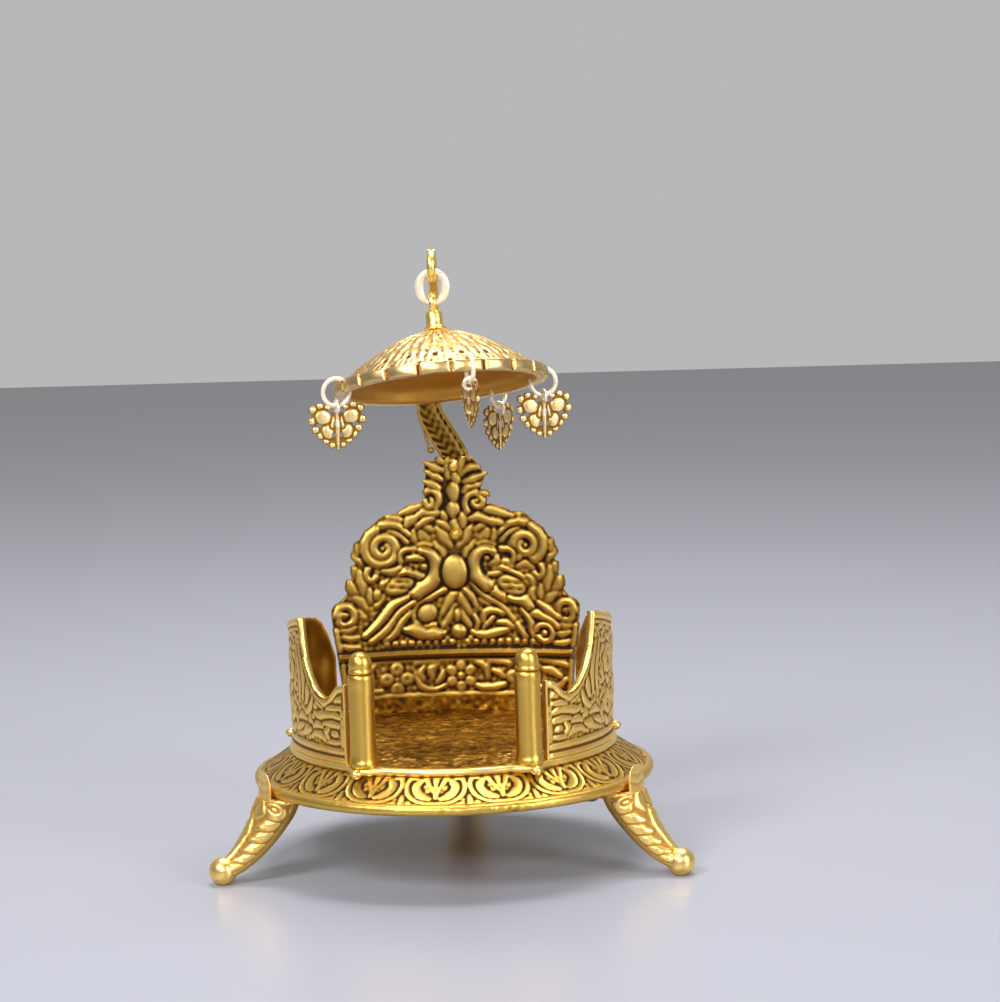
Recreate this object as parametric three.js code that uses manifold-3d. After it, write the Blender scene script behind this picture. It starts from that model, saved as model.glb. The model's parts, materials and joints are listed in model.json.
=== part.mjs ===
// A gilt metal throne for a small household deity figure, as a three.js scene graph in millimetres, +Z up.
// Three splayed legs carry a round stepped base. On it stand a beaded seat plate, two curved side wings,
// two front posts and a tall crested back. A crook rises behind the crest, and a small parasol hangs from it
// by a ring, with four leaf drops linked to its rim.
import * as THREE from "three";
import { mergeVertices } from "three/addons/utils/BufferGeometryUtils.js";
import Module from "manifold-3d";

const wasm = await Module();
wasm.setup();

// Driving dimensions, in millimetres. Heights are above the table that the throne stands on.
const overrun = 2; // how far a cutter passes the face that it cuts
const gap = 0.3; // clearance between castings that rest on or pass one another
const mergeReach = 0.0001; // how close two points of a surface are one point

// Base plate
const baseRadius = 59;
const baseUnderside = 24;
const rimBand = 2.6;
const rimRound = 1;
const borderWidth = 10.6; // the sloped border between the rim and the deck
const deckTop = 33;
const deckRadius = baseRadius - borderWidth;
const deckThickness = 2.4;
const skirtWall = 2.2;

// Seat plate
const seatInset = 0.1;
const seatRadius = deckRadius - seatInset;
const seatThickness = 2.2;
const floorInset = 8.4; // from the deck's edge to the edge of the sunk floor
const floorSink = 0.4;
const postLugRadius = 4.3;

// Legs
const legSplay = 14.5; // how far the feet stand out past the rim
const legKneeInset = 3.8; // how far the knees' middles lie inside the rim
const legRadius = baseRadius + legSplay;
const legKneeRadius = baseRadius - legKneeInset;
const legKneeWidth = 16;
const legKneeDepth = 12.4;
const legAnkleWidth = 7.6;
const legAnkleDepth = 5.4;
const footBall = 4.1;
const footFlat = 0.35;
const legEarWidth = 9.2; // the ear that hugs the outside of the rim
const legEarWall = 1.5;
const legEarRise = 7.3; // how far it stands above the knee
const legPad = 2.4;
const legPadWidth = 9.4;
const legBossRadius = 4;
const legBossInset = 10; // how far the screws lie inside the knees
const legBossReach = legKneeRadius - legBossInset;

// Screws and rivets
const screwRadius = 1.5;
const screwClearance = 0.3;
const screwHeadRadius = 2.6;
const screwHeadHeight = 1.7;
const slotWidth = 0.7;
const slotDepth = 0.8;
const legScrewReach = 7.2;
const postScrewReach = 14;
const pegRadius = 0.85;
const pegHeadRadius = 1.7;
const pegHeadHeight = 0.9;

// Side wings
const wingInset = 0.8; // from the deck's edge to the wings
const wingOuter = deckRadius - wingInset;
const wingWall = 2;
const wingHeight = 39.8; // from the seat plate to the pointed tip
const wingBorder = 0.55;
const wingBorderWidth = 2.1;
const earReach = 2.2;
const earHeight = 2.8;
const earRise = 0.8;

// Front posts
const postInset = 1.1; // from the deck's edge to the posts' middles
const postReach = deckRadius - postInset;
const postHeight = 26.6;
const postRadius = 3.75;
const capHeight = 6.2;
const capRadius = 3.35;
const capPegRadius = 1.3;
const capPegLength = 3;

// Crested back
const backHeight = 78.9;
const backHalfWidth = 38.3;
const backCurve = 110;
const backInset = 5; // from the deck's edge to the outside of the plate, at its middle
const backSet = deckRadius - backInset;
const backWall = 2.3;
const railHeight = 17.9;
const railRadius = 1.15;

// Crook that carries the parasol
const crookLap = 26.1; // how far its foot runs down behind the crest
const crookFoot = backHeight - crookLap;
const crookRise = 89.5; // from its lower end to the top of its eye
const crookLean = 6.5; // how far it bows to the left
const crookWidth = 8.6;
const crookTipWidth = 2.6;
const crookThickness = 2.8;
const crookTipThickness = 2.1;
const crookEyeRadius = 3.8; // to the middle of the bar that closes the eye
const rivetRadius = 1.1;
const rivetHeadRadius = 2;
const rivetHeadHeight = 1.2;

// Ring on the crook
const ringHalfWidth = 4.4;
const ringHalfHeight = 4.7;
const ringWire = 0.9;

// Parasol, whose size sets how far the crook reaches
const canopyRadius = 32.1;
const canopySetback = 0.9;
const crookReach = canopyRadius - canopySetback; // from its foot forward to the middle of its eye
const canopyHeight = 17.2;
const canopyWall = 1.3;
const canopyBand = 2.6;
const canopyBandDepth = 4.2;
const canopyFlute = 0.35;
const stemRadius = 2.45;
const stemLength = 8.4; // from the crown of the parasol to the middle of the eye
const eyeRadius = 3.3;
const eyeHole = 2.1;
const eyeWidth = 2.2;
const collarRadius = 3.3;
const collarHeight = 1.1;
const stemTailRadius = 1.4;
const nutAcross = 5.4;
const nutHeight = 2;

// Drops on the parasol's rim
const dropHoleInset = 4;
const dropHoleReach = canopyRadius - dropHoleInset;
const dropHoleRadius = 2.05;
const rimRingRadius = 4.05;
const rimRingWire = 0.7;
const leafWidth = 16.4;
const leafHeight = 13.6;
const leafThickness = 1.4;
const leafEyeRadius = 1.7; // to the middle of the wire of its eye
const leafEyeWire = 0.6;

// Angles, in degrees. Bearings are counted from the front of the throne, positive to the viewer's right.
const degree = Math.PI / 180;
const legBearings = { left: -63.5, right: 63.5, rear: 180 };
const postBearing = 29.8;
const wingStart = 37;
const wingEnd = 127;
const pegBearings = [50, 104];
const backPegShare = 0.5;
const parasolTilt = 12.8;
const parasolLean = 4.4;
const dropBearings = { front: 18, right: 110, rear: 150, left: -70 };
const rimRingDroop = 13; // how far a rim ring's middle hangs below its hole
const beadAngles = [-90, -60, -30, 0, 30, 60, 90]; // round the seat plate's half-round edge

// Counts
const roundSteps = 48; // round the base
const postSteps = 16; // round a post and its cap
const smallSteps = 12; // round a screw, peg or rivet
const eyeSteps = 20; // round the crook's eye
const ringSteps = 24; // along a hanging ring's wire
const rimRingSteps = 18; // along a rim ring's wire
const wireSides = 6; // round a wire
const nutSides = 6;
const barSides = 8; // round the crook's bar
const legSides = 10; // round a leg
const fluteCount = 20;

// Outlines, in shares of the sizes that they follow, chosen by hand.
const screwCrownShare = 0.62; // the flat end of a screw's head, of its radius
const rivetCrownShare = 0.6; // the flat end of a rivet's head, of its radius
const rivetShoulderShare = 0.85; // how high a rivet's head curves over, of its height
const crookSquareShare = 0.3; // how square the crook's bar is
// A wing's top edge: share of the wing's sweep from the post to the back, and share of its height.
const wingTopShares = [
  [0, 0.575], [0.04, 0.56], [0.07, 0.5], [0.115, 0.445], [0.17, 0.495], [0.225, 0.6],
  [0.26, 0.72], [0.278, 0.86], [0.292, 1], [0.34, 0.985], [0.4, 0.962], [0.49, 0.92],
  [0.59, 0.88], [0.69, 0.87], [0.78, 0.865], [0.86, 0.84], [0.91, 0.79], [0.955, 0.68], [1, 0.5],
];
// The back's edge: share of its height above the seat plate, and share of its half width.
const backEdgeShares = [
  [0, 0.91], [0.05, 0.93], [0.2, 0.955], [0.24, 0.985], [0.285, 0.965], [0.33, 1], [0.38, 1],
  [0.42, 0.955], [0.45, 0.9], [0.49, 0.885], [0.52, 0.84], [0.56, 0.83], [0.59, 0.79], [0.63, 0.765],
  [0.665, 0.75], [0.7, 0.68], [0.735, 0.61], [0.765, 0.5], [0.785, 0.36], [0.8, 0.27], [0.825, 0.225],
  [0.855, 0.265], [0.875, 0.215], [0.905, 0.255], [0.93, 0.225], [0.965, 0.235], [0.985, 0.17], [1, 0.11],
];
// A leg's middle line and girth: shares of its way out, of its height, of its width and of its depth,
// each counted from the knee to the ankle.
const legShares = [
  [0, 1, 1, 0.9], [0.08, 0.88, 1, 0.84], [0.19, 0.74, 0.9, 0.72], [0.32, 0.6, 0.74, 0.6],
  [0.46, 0.465, 0.56, 0.45], [0.62, 0.34, 0.38, 0.28], [0.78, 0.24, 0.2, 0.12], [0.92, 0.185, 0.06, 0.02],
  [1.03, 0.19, 0, 0.02],
];
// The outline of a leg's ear from its root to its top: shares of half its width and of its rise.
const legEarShares = [[1, 0], [1, 0.66], [0.82, 0.88], [0.45, 1]];
// The crook's middle line: shares of its lean, of its reach and of its rise, then shares of the way
// from its foot's girth to its tip's girth.
const crookShares = [
  [0.08, 0, 0, 0], [0.08, 0, 0.1, 0], [0.08, 0, 0.2, 0], [0.1, 0, 0.29, 0.02], [-0.5, 0.03, 0.375, 0.05],
  [-0.98, 0.08, 0.45, 0.16], [-0.98, 0.13, 0.58, 0.45], [-0.62, 0.2, 0.71, 0.88], [-0.55, 0.32, 0.83, 0.95],
  [-0.5, 0.52, 0.925, 1], [-0.46, 0.77, 0.982, 1], [-0.42, 1, 1, 1],
];
// The parasol's outside above its band: shares of its radius and of its height.
const canopyShares = [
  [0.905, 0.205], [0.86, 0.27], [0.75, 0.43], [0.6, 0.61], [0.44, 0.775], [0.28, 0.895], [0.14, 0.965],
];
// A post's outside: shares of its height and of its radius.
const postShares = [[0, 1.1], [0.06, 1.1], [0.1, 1], [0.45, 0.96], [0.86, 0.98], [0.93, 1], [1, 1]];
// A post cap's outside: shares of its height and of its radius.
const capShares = [[0, 0.98], [0.1, 1.04], [0.2, 0.98], [0.45, 1], [0.7, 0.86], [0.88, 0.55], [1, 0]];
// A leaf drop's outline from its notch to its tip: shares of half its width and of its height, counted
// down from its shoulders, which stand a share of its height above the middle of its eye.
const leafShoulderShare = 0.08;
const leafShares = [
  [0.3, 0.12], [0.5, 0.02], [0.78, 0], [0.97, 0.12], [1, 0.32], [0.9, 0.5], [0.84, 0.64], [0.6, 0.74],
  [0.34, 0.9],
];
// Its pierced work: the middle and half size of each opening, as shares of half its width and of its height.
const pierceShares = [[0.6, 0.28, 0.2, 0.11], [0, 0.46, 0.13, 0.1], [0.42, 0.56, 0.18, 0.08]];

// Materials
function metal(color, metalness, roughness) {
  return new THREE.MeshStandardMaterial({ color, metalness, roughness });
}
const polished = metal(0xdca63a, 1, 0.28);
const oxidised = metal(0xb8862c, 1, 0.42);
const seatGold = metal(0xa9752a, 1, 0.5);
const brightGold = metal(0xf0cf7a, 1, 0.22);
const screwSteel = metal(0x9d9a92, 1, 0.4);

// Geometry helpers

// A closed body from points and faces, turned so that its faces point out.
function closedBody(points, faces) {
  const geometry = new THREE.BufferGeometry();
  const flat = points.flatMap((p) => [p.x, p.y, p.z]);
  let volume = 0;
  for (const [a, b, c] of faces) volume += points[a].dot(points[b].clone().cross(points[c]));
  const index = faces.flatMap(([a, b, c]) => (volume > 0 ? [a, b, c] : [a, c, b]));
  geometry.setAttribute("position", new THREE.Float32BufferAttribute(flat, 3));
  geometry.setIndex(index);
  geometry.computeVertexNormals();
  return geometry;
}

// A body through a row of closed sections with equal counts of points, with a flat end at each side.
function loft(sections) {
  const sides = sections[0].length;
  const points = sections.flat();
  const faces = [];
  for (let s = 0; s + 1 < sections.length; s++) {
    for (let k = 0; k < sides; k++) {
      const a = s * sides + k;
      const b = s * sides + ((k + 1) % sides);
      faces.push([a, b, b + sides], [a, b + sides, a + sides]);
    }
  }
  for (const [end, flip] of [[0, true], [sections.length - 1, false]]) {
    const middle = points.length;
    const centre = new THREE.Vector3();
    for (const p of sections[end]) centre.addScaledVector(p, 1 / sides);
    points.push(centre);
    for (let k = 0; k < sides; k++) {
      const a = end * sides + k;
      const b = end * sides + ((k + 1) % sides);
      faces.push(flip ? [middle, b, a] : [middle, a, b]);
    }
  }
  return closedBody(points, faces);
}

// A plate between two grids of points, front(i, j) and back(i, j), closed along its four edges.
function plate(columns, rows, front, back) {
  const points = [];
  const faces = [];
  const stride = rows + 1;
  for (const side of [front, back]) {
    for (let i = 0; i <= columns; i++) for (let j = 0; j <= rows; j++) points.push(side(i, j));
  }
  const half = (columns + 1) * stride;
  const at = (i, j) => i * stride + j;
  for (let i = 0; i < columns; i++) {
    for (let j = 0; j < rows; j++) {
      const [a, b, c, d] = [at(i, j), at(i + 1, j), at(i + 1, j + 1), at(i, j + 1)];
      faces.push([a, b, c], [a, c, d], [a + half, c + half, b + half], [a + half, d + half, c + half]);
    }
  }
  const wall = (a, b) => faces.push([b, a, a + half], [b, a + half, b + half]);
  for (let i = 0; i < columns; i++) {
    wall(at(i, 0), at(i + 1, 0));
    wall(at(i + 1, rows), at(i, rows));
  }
  for (let j = 0; j < rows; j++) {
    wall(at(columns, j), at(columns, j + 1));
    wall(at(0, j + 1), at(0, j));
  }
  return closedBody(points, faces);
}

// A body turned about +Z from a profile of [radius, height] pairs.
function turned(profile, steps = roundSteps) {
  const geometry = new THREE.LatheGeometry(profile.map(([r, z]) => new THREE.Vector2(r, z)), steps);
  return geometry.rotateX(90 * degree);
}

// A rod along +Z, from one height to another.
function rod(radius, low, high, steps = smallSteps) {
  const geometry = new THREE.CylinderGeometry(radius, radius, high - low, steps);
  return geometry.rotateX(90 * degree).translate(0, 0, (low + high) / 2);
}

// A closed ring of wire in the XZ plane, oval where its two radii differ, with a round or flat section.
function wireRing(halfWidth, halfHeight, wire, steps, sides, depth = wire) {
  const points = [];
  const faces = [];
  for (let s = 0; s < steps; s++) {
    const around = (s / steps) * 2 * Math.PI;
    const middle = new THREE.Vector3(halfWidth * Math.cos(around), 0, halfHeight * Math.sin(around));
    const out = new THREE.Vector3(halfHeight * Math.cos(around), 0, halfWidth * Math.sin(around)).normalize();
    for (let k = 0; k < sides; k++) {
      const turn = (k / sides) * 2 * Math.PI;
      const point = middle.clone().addScaledVector(out, wire * Math.cos(turn));
      point.y += depth * Math.sin(turn);
      points.push(point);
    }
  }
  for (let s = 0; s < steps; s++) {
    for (let k = 0; k < sides; k++) {
      const a = s * sides + k;
      const b = s * sides + ((k + 1) % sides);
      const c = ((s + 1) % steps) * sides + ((k + 1) % sides);
      const d = ((s + 1) % steps) * sides + k;
      faces.push([a, b, c], [a, c, d]);
    }
  }
  return closedBody(points, faces);
}

function solid(geometry) {
  const bare = geometry.clone();
  for (const name of Object.keys(bare.attributes)) if (name !== "position") bare.deleteAttribute(name);
  const merged = mergeVertices(bare, mergeReach);
  return new wasm.Manifold(
    new wasm.Mesh({
      numProp: 3,
      vertProperties: merged.attributes.position.array,
      triVerts: new Uint32Array(merged.index.array),
    }),
  );
}

function geometryOf(body) {
  const mesh = body.getMesh();
  const geometry = new THREE.BufferGeometry();
  geometry.setAttribute("position", new THREE.Float32BufferAttribute(mesh.vertProperties, 3));
  geometry.setIndex(new THREE.Uint32BufferAttribute(mesh.triVerts, 1));
  geometry.computeVertexNormals();
  return geometry;
}

function joined(first, ...others) {
  return geometryOf(others.reduce((body, other) => body.add(solid(other)), solid(first)));
}

function cut(first, ...cutters) {
  return geometryOf(cutters.reduce((body, cutter) => body.subtract(solid(cutter)), solid(first)));
}

function named(name, geometry, material) {
  const mesh = new THREE.Mesh(geometry, material);
  mesh.name = name;
  return mesh;
}

// A point at a bearing from the front, a distance from the axis and a height.
function polar(bearing, radius, height) {
  return new THREE.Vector3(radius * Math.sin(bearing * degree), -radius * Math.cos(bearing * degree), height);
}

function movedTo(geometry, point) {
  return geometry.clone().translate(point.x, point.y, point.z);
}

// A value read from a table of [share, value] rows, straight between its rows.
function lookUp(table, share) {
  const last = table.findIndex(([s]) => s >= share);
  if (last <= 0) return table[last === 0 ? 0 : table.length - 1][1];
  const [s0, v0] = table[last - 1];
  const [s1, v1] = table[last];
  return v0 + ((v1 - v0) * (share - s0)) / (s1 - s0);
}

// Where the pieces are fixed through the two plates
const legBosses = Object.values(legBearings).map((bearing) => polar(bearing, legBossReach, 0));
const postFeet = [-postBearing, postBearing].map((bearing) => polar(bearing, postReach, 0));
const wingMiddle = wingOuter - wingWall / 2;
const wingPegs = [-1, 1].flatMap((side) =>
  pegBearings.map((bearing) => polar(side * bearing, wingMiddle, 0)),
);
const backMiddle = backCurve - backWall / 2;
const backPegAngle = Math.asin((backHalfWidth * backPegShare) / backCurve);
const backPegs = [-1, 1].map(
  (side) =>
    new THREE.Vector3(
      side * backMiddle * Math.sin(backPegAngle),
      backSet - backCurve + backMiddle * Math.cos(backPegAngle),
      0,
    ),
);
const deckUnderside = deckTop - deckThickness;
const plateTop = deckTop + seatThickness; // where the wings, posts and back stand

// A cast peg with its hammered-over head under the deck.
function peg() {
  const headTop = deckUnderside - gap / 2;
  const head = rod(pegHeadRadius, headTop - pegHeadHeight, headTop);
  return joined(rod(pegRadius, headTop - pegHeadHeight / 2, plateTop + pegRadius), head);
}

function basePlate() {
  const shoulder = baseUnderside + rimBand;
  const slope = (baseRadius - 2 * rimRound - deckRadius) / (deckTop - shoulder - rimRound / 2);
  const profile = [
    [0, deckUnderside], [deckRadius + slope * deckThickness - skirtWall, deckUnderside],
    [baseRadius - skirtWall, shoulder - skirtWall / 2], [baseRadius - skirtWall, baseUnderside],
    [baseRadius - rimRound / 2, baseUnderside], [baseRadius, baseUnderside + rimRound / 2],
    [baseRadius, shoulder - rimRound / 2], [baseRadius - rimRound, shoulder + rimRound / 2],
    [baseRadius - 2 * rimRound, shoulder + rimRound / 2], [deckRadius, deckTop], [0, deckTop],
  ];
  const boss = rod(legBossRadius, baseUnderside + gap, deckUnderside + deckThickness / 2);
  const bosses = legBosses.map((place) => movedTo(boss, place));
  const blindHole = rod(screwRadius + screwClearance, baseUnderside - overrun, deckTop - deckThickness / 2);
  const through = (radius) => rod(radius, deckUnderside - overrun, deckTop + overrun);
  return cut(
    joined(turned(profile), ...bosses),
    ...legBosses.map((place) => movedTo(blindHole, place)),
    ...postFeet.map((place) => movedTo(through(screwRadius + screwClearance), place)),
    ...[...wingPegs, ...backPegs].map((place) => movedTo(through(pegRadius + screwClearance), place)),
  );
}

function seatPlate() {
  const beadRadius = seatThickness / 2;
  const edge = beadAngles.map((turn) => [
    seatRadius - beadRadius + beadRadius * Math.cos(turn * degree),
    deckTop + beadRadius + beadRadius * Math.sin(turn * degree),
  ]);
  const floorRadius = deckRadius - floorInset;
  const profile = [
    [0, deckTop], ...edge, [floorRadius + floorSink, plateTop], [floorRadius, plateTop - floorSink],
    [0, plateTop - floorSink],
  ];
  const lugs = postFeet.map((place) => movedTo(rod(postLugRadius, deckTop, plateTop, 2 * smallSteps), place));
  const through = (radius) => rod(radius, deckTop - overrun, plateTop + overrun);
  return cut(
    joined(turned(profile), ...lugs),
    ...postFeet.map((place) => movedTo(through(screwRadius + screwClearance), place)),
    ...[...wingPegs, ...backPegs].map((place) => movedTo(through(pegRadius + screwClearance), place)),
  );
}

// The ear of a leg, a plate that stands on the knee against the outside of the rim.
function legEar(top) {
  const outline = legEarShares.map(([across, up]) => [(across * legEarWidth) / 2, top + up * legEarRise]);
  const shape = new THREE.Shape();
  shape.moveTo(legEarWidth / 2, top - legPad);
  for (const [x, z] of outline) shape.lineTo(x, z);
  for (const [x, z] of [...outline].reverse()) shape.lineTo(-x, z);
  shape.lineTo(-legEarWidth / 2, top - legPad);
  shape.closePath();
  return new THREE.ExtrudeGeometry(shape, { depth: legEarWall, bevelEnabled: false })
    .rotateX(90 * degree)
    .rotateZ(90 * degree)
    .translate(baseRadius + gap, 0, 0);
}

// One leg, standing out along +X from the axis of the throne.
function leg() {
  const top = baseUnderside - gap;
  const sections = legShares.map(([out, up, wide, deep], s) => {
    const before = legShares[Math.max(s - 1, 0)];
    const after = legShares[Math.min(s + 1, legShares.length - 1)];
    const way = new THREE.Vector3(
      (after[0] - before[0]) * (legRadius - legKneeRadius),
      0,
      (after[1] - before[1]) * top,
    ).normalize();
    // The knee's section lies flat under the rim, and the others stand square to the leg.
    const across = s === 0 ? new THREE.Vector3(1, 0, 0) : new THREE.Vector3(-way.z, 0, way.x);
    const middle = new THREE.Vector3(legKneeRadius + out * (legRadius - legKneeRadius), 0, up * top);
    const halfWidth = (legAnkleWidth + wide * (legKneeWidth - legAnkleWidth)) / 2;
    const halfDepth = (legAnkleDepth + deep * (legKneeDepth - legAnkleDepth)) / 2;
    return Array.from({ length: legSides }, (_, k) => {
      const turn = ((k + 0.5) / legSides) * 2 * Math.PI;
      const point = middle.clone().addScaledVector(across, halfDepth * Math.cos(turn));
      point.y += halfWidth * Math.sin(turn);
      return point;
    });
  });
  const ball = new THREE.SphereGeometry(footBall, postSteps, legSides).translate(
    legRadius, 0, footBall - footFlat,
  );
  const padLength = legKneeRadius - legBossReach + legBossRadius;
  const pad = new THREE.BoxGeometry(padLength, legPadWidth, legPad).translate(
    legBossReach - legBossRadius + padLength / 2, 0, top - legPad / 2,
  );
  const floorCutter = new THREE.BoxGeometry(4 * legRadius, 4 * legRadius, legRadius).translate(
    0, 0, -legRadius / 2,
  );
  const screwHole = rod(screwRadius + screwClearance, top - legPad - overrun, top + overrun).translate(
    legBossReach, 0, 0,
  );
  return cut(joined(loft(sections), ball, pad, legEar(top)), floorCutter, screwHole);
}

// A round-headed screw with its head down, its head's top face at zero.
function screw(reach) {
  const head = turned(
    [
      [0, -screwHeadHeight], [screwHeadRadius * screwCrownShare, -screwHeadHeight],
      [screwHeadRadius, -screwHeadHeight / 2], [screwHeadRadius, 0], [0, 0],
    ],
    smallSteps,
  );
  const slot = new THREE.BoxGeometry(2 * screwHeadRadius + overrun, slotWidth, 2 * slotDepth).translate(
    0, 0, -screwHeadHeight,
  );
  return cut(joined(head, rod(screwRadius, -screwHeadHeight / 2, reach)), slot);
}

// A side wing on the right. The left one is its mirror image.
function wing(side) {
  const rows = 6;
  const shares = wingTopShares.map(([sweep]) => sweep);
  const sweep = wingEnd - wingStart;
  const borderRows = (height) => [
    0, wingBorderWidth / height, (wingBorderWidth + wingBorder) / height, 0.5,
    1 - (wingBorderWidth + wingBorder) / height, 1 - wingBorderWidth / height, 1,
  ];
  const face = (radius, raised) => (i, j) => {
    const height = wingTopShares[i][1] * wingHeight;
    const share = borderRows(height)[j];
    const onBorder = raised && (j <= 1 || j >= rows - 1 || i <= 1 || i >= shares.length - 2);
    const reach = radius + (onBorder ? wingBorder : 0);
    const point = polar(wingStart + shares[i] * sweep, reach, plateTop + share * height);
    point.x *= side;
    return point;
  };
  const outside = face(wingOuter - wingBorder, true);
  const wall = plate(shares.length - 1, rows, outside, face(wingOuter - wingWall, false));
  const pegs = pegBearings.map((bearing) => movedTo(peg(), polar(side * bearing, wingMiddle, 0)));
  const ear = new THREE.SphereGeometry(1, smallSteps, smallSteps / 2);
  ear.scale(earReach, earHeight / 2, earHeight / 2);
  const earPlace = polar(side * 90, wingOuter, plateTop + earRise + earHeight / 2);
  return joined(wall, ...pegs, movedTo(ear, earPlace));
}

function post() {
  const profile = postShares.map(([up, out]) => [out * postRadius, up * postHeight]);
  const body = turned([[0, 0], ...profile, [0, postHeight]], postSteps);
  const screwTop = postScrewReach - (plateTop - deckUnderside) + gap;
  const screwHole = rod(screwRadius + screwClearance, -overrun, screwTop);
  const capHole = rod(capPegRadius + gap, postHeight - capPegLength - gap, postHeight + overrun);
  return cut(body, screwHole, capHole);
}

function postCap() {
  const profile = capShares.map(([up, out]) => [out * capRadius, up * capHeight]);
  const capPeg = rod(capPegRadius, -capPegLength, capHeight / 2);
  return joined(turned([[0, 0], ...profile], postSteps), capPeg);
}

// The crested back: a gently curved plate whose edge follows the crest.
function backPanel() {
  const columns = 8;
  const railLow = railHeight - railRadius;
  const railHigh = railHeight + railRadius;
  const levels = [...backEdgeShares.map(([up]) => up * backHeight), railLow, railHeight, railHigh];
  levels.sort((a, b) => a - b);
  const face = (radius, proud) => (i, j) => {
    const share = (2 * i) / columns - 1;
    const level = levels[j];
    const x = share * backHalfWidth * lookUp(backEdgeShares, level / backHeight);
    const angle = Math.asin(x / backCurve);
    const bulge = proud && level > railLow && level < railHigh ? railRadius : 0;
    const r = radius - bulge;
    const y = backSet - backCurve + r * Math.cos(angle);
    return new THREE.Vector3(r * Math.sin(angle), y, plateTop + level);
  };
  const body = plate(columns, levels.length - 1, face(backCurve - backWall, true), face(backCurve, false));
  const pegs = backPegs.map((place) => movedTo(peg(), place));
  const holes = rivetHeights().map((height) =>
    rod(rivetRadius + gap, -crookThickness - backWall, overrun)
      .rotateX(-90 * degree)
      .translate(crookFootX(), backSet, height),
  );
  return cut(joined(body, ...pegs), ...holes);
}

// The crook's foot lies against the outside of the crest, clear of its highest scrolls.
function crookFootX() {
  return crookShares[0][0] * crookLean;
}
function crookFootHeight() {
  return plateTop + crookFoot;
}
function crookFootDepth() {
  return backSet + gap + crookThickness / 2;
}
function rivetHeights() {
  const low = crookFootHeight();
  return [low + rivetHeadRadius, plateTop + backHeight - rivetHeadRadius - rivetRadius];
}

function crookPoint([lean, reach, rise]) {
  return new THREE.Vector3(
    lean * crookLean, crookFootDepth() - reach * crookReach, crookFootHeight() + rise * crookRise,
  );
}

function crook() {
  const path = new THREE.CatmullRomCurve3(crookShares.map(crookPoint), false, "centripetal");
  const stations = 3 * (crookShares.length - 1);
  const squareness = Math.SQRT1_2 / Math.cos(Math.PI / barSides) + crookSquareShare;
  const within = (value) => Math.max(-1, Math.min(1, value));
  const sections = Array.from({ length: stations + 1 }, (_, s) => {
    const t = s / stations;
    const way = path.getTangent(t);
    const across = new THREE.Vector3(1, 0, 0).addScaledVector(way, -way.x).normalize();
    const through = way.clone().cross(across);
    const place = t * (crookShares.length - 1);
    const row = Math.min(Math.floor(place), crookShares.length - 2);
    const taper = crookShares[row][3] + (place - row) * (crookShares[row + 1][3] - crookShares[row][3]);
    const halfWidth = (crookWidth + taper * (crookTipWidth - crookWidth)) / 2;
    const halfDepth = (crookThickness + taper * (crookTipThickness - crookThickness)) / 2;
    const middle = path.getPoint(t);
    return Array.from({ length: barSides }, (_, k) => {
      const turn = ((k + 0.5) / barSides) * 2 * Math.PI;
      return middle
        .clone()
        .addScaledVector(across, within(squareness * Math.cos(turn)) * halfWidth)
        .addScaledVector(through, within(squareness * Math.sin(turn)) * halfDepth);
    });
  });
  const holes = rivetHeights().map((height) =>
    rod(rivetRadius + gap, -crookThickness - overrun, crookThickness + overrun)
      .rotateX(-90 * degree)
      .translate(crookFootX(), crookFootDepth(), height),
  );
  const eye = wireRing(
    crookEyeRadius, crookEyeRadius, crookTipThickness / 2, eyeSteps, barSides, crookTipWidth / 2,
  ).rotateZ(90 * degree);
  return cut(joined(loft(sections), movedTo(eye, crookEyeMiddle())), ...holes);
}

// The middle of the crook's eye, which hangs from the end of its arch.
function crookEyeMiddle() {
  const tip = crookPoint(crookShares[crookShares.length - 1]);
  return tip.sub(new THREE.Vector3(0, 0, crookEyeRadius));
}

// A rivet through the crest and the crook's foot, along +Y, with a low head at each end.
function rivet() {
  const inner = backSet - backWall - gap;
  const outer = crookFootDepth() + crookThickness / 2 + gap;
  const shank = rod(rivetRadius, -rivetHeadHeight / 2, outer - inner + rivetHeadHeight / 2);
  const head = turned(
    [
      [0, -rivetHeadHeight], [rivetHeadRadius * rivetCrownShare, -rivetHeadHeight * rivetShoulderShare],
      [rivetHeadRadius, 0], [0, 0],
    ],
    smallSteps,
  );
  const farHead = head.clone().rotateX(180 * degree).translate(0, 0, outer - inner);
  return joined(shank, head, farHead).rotateX(-90 * degree).translate(0, inner, 0);
}

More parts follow.
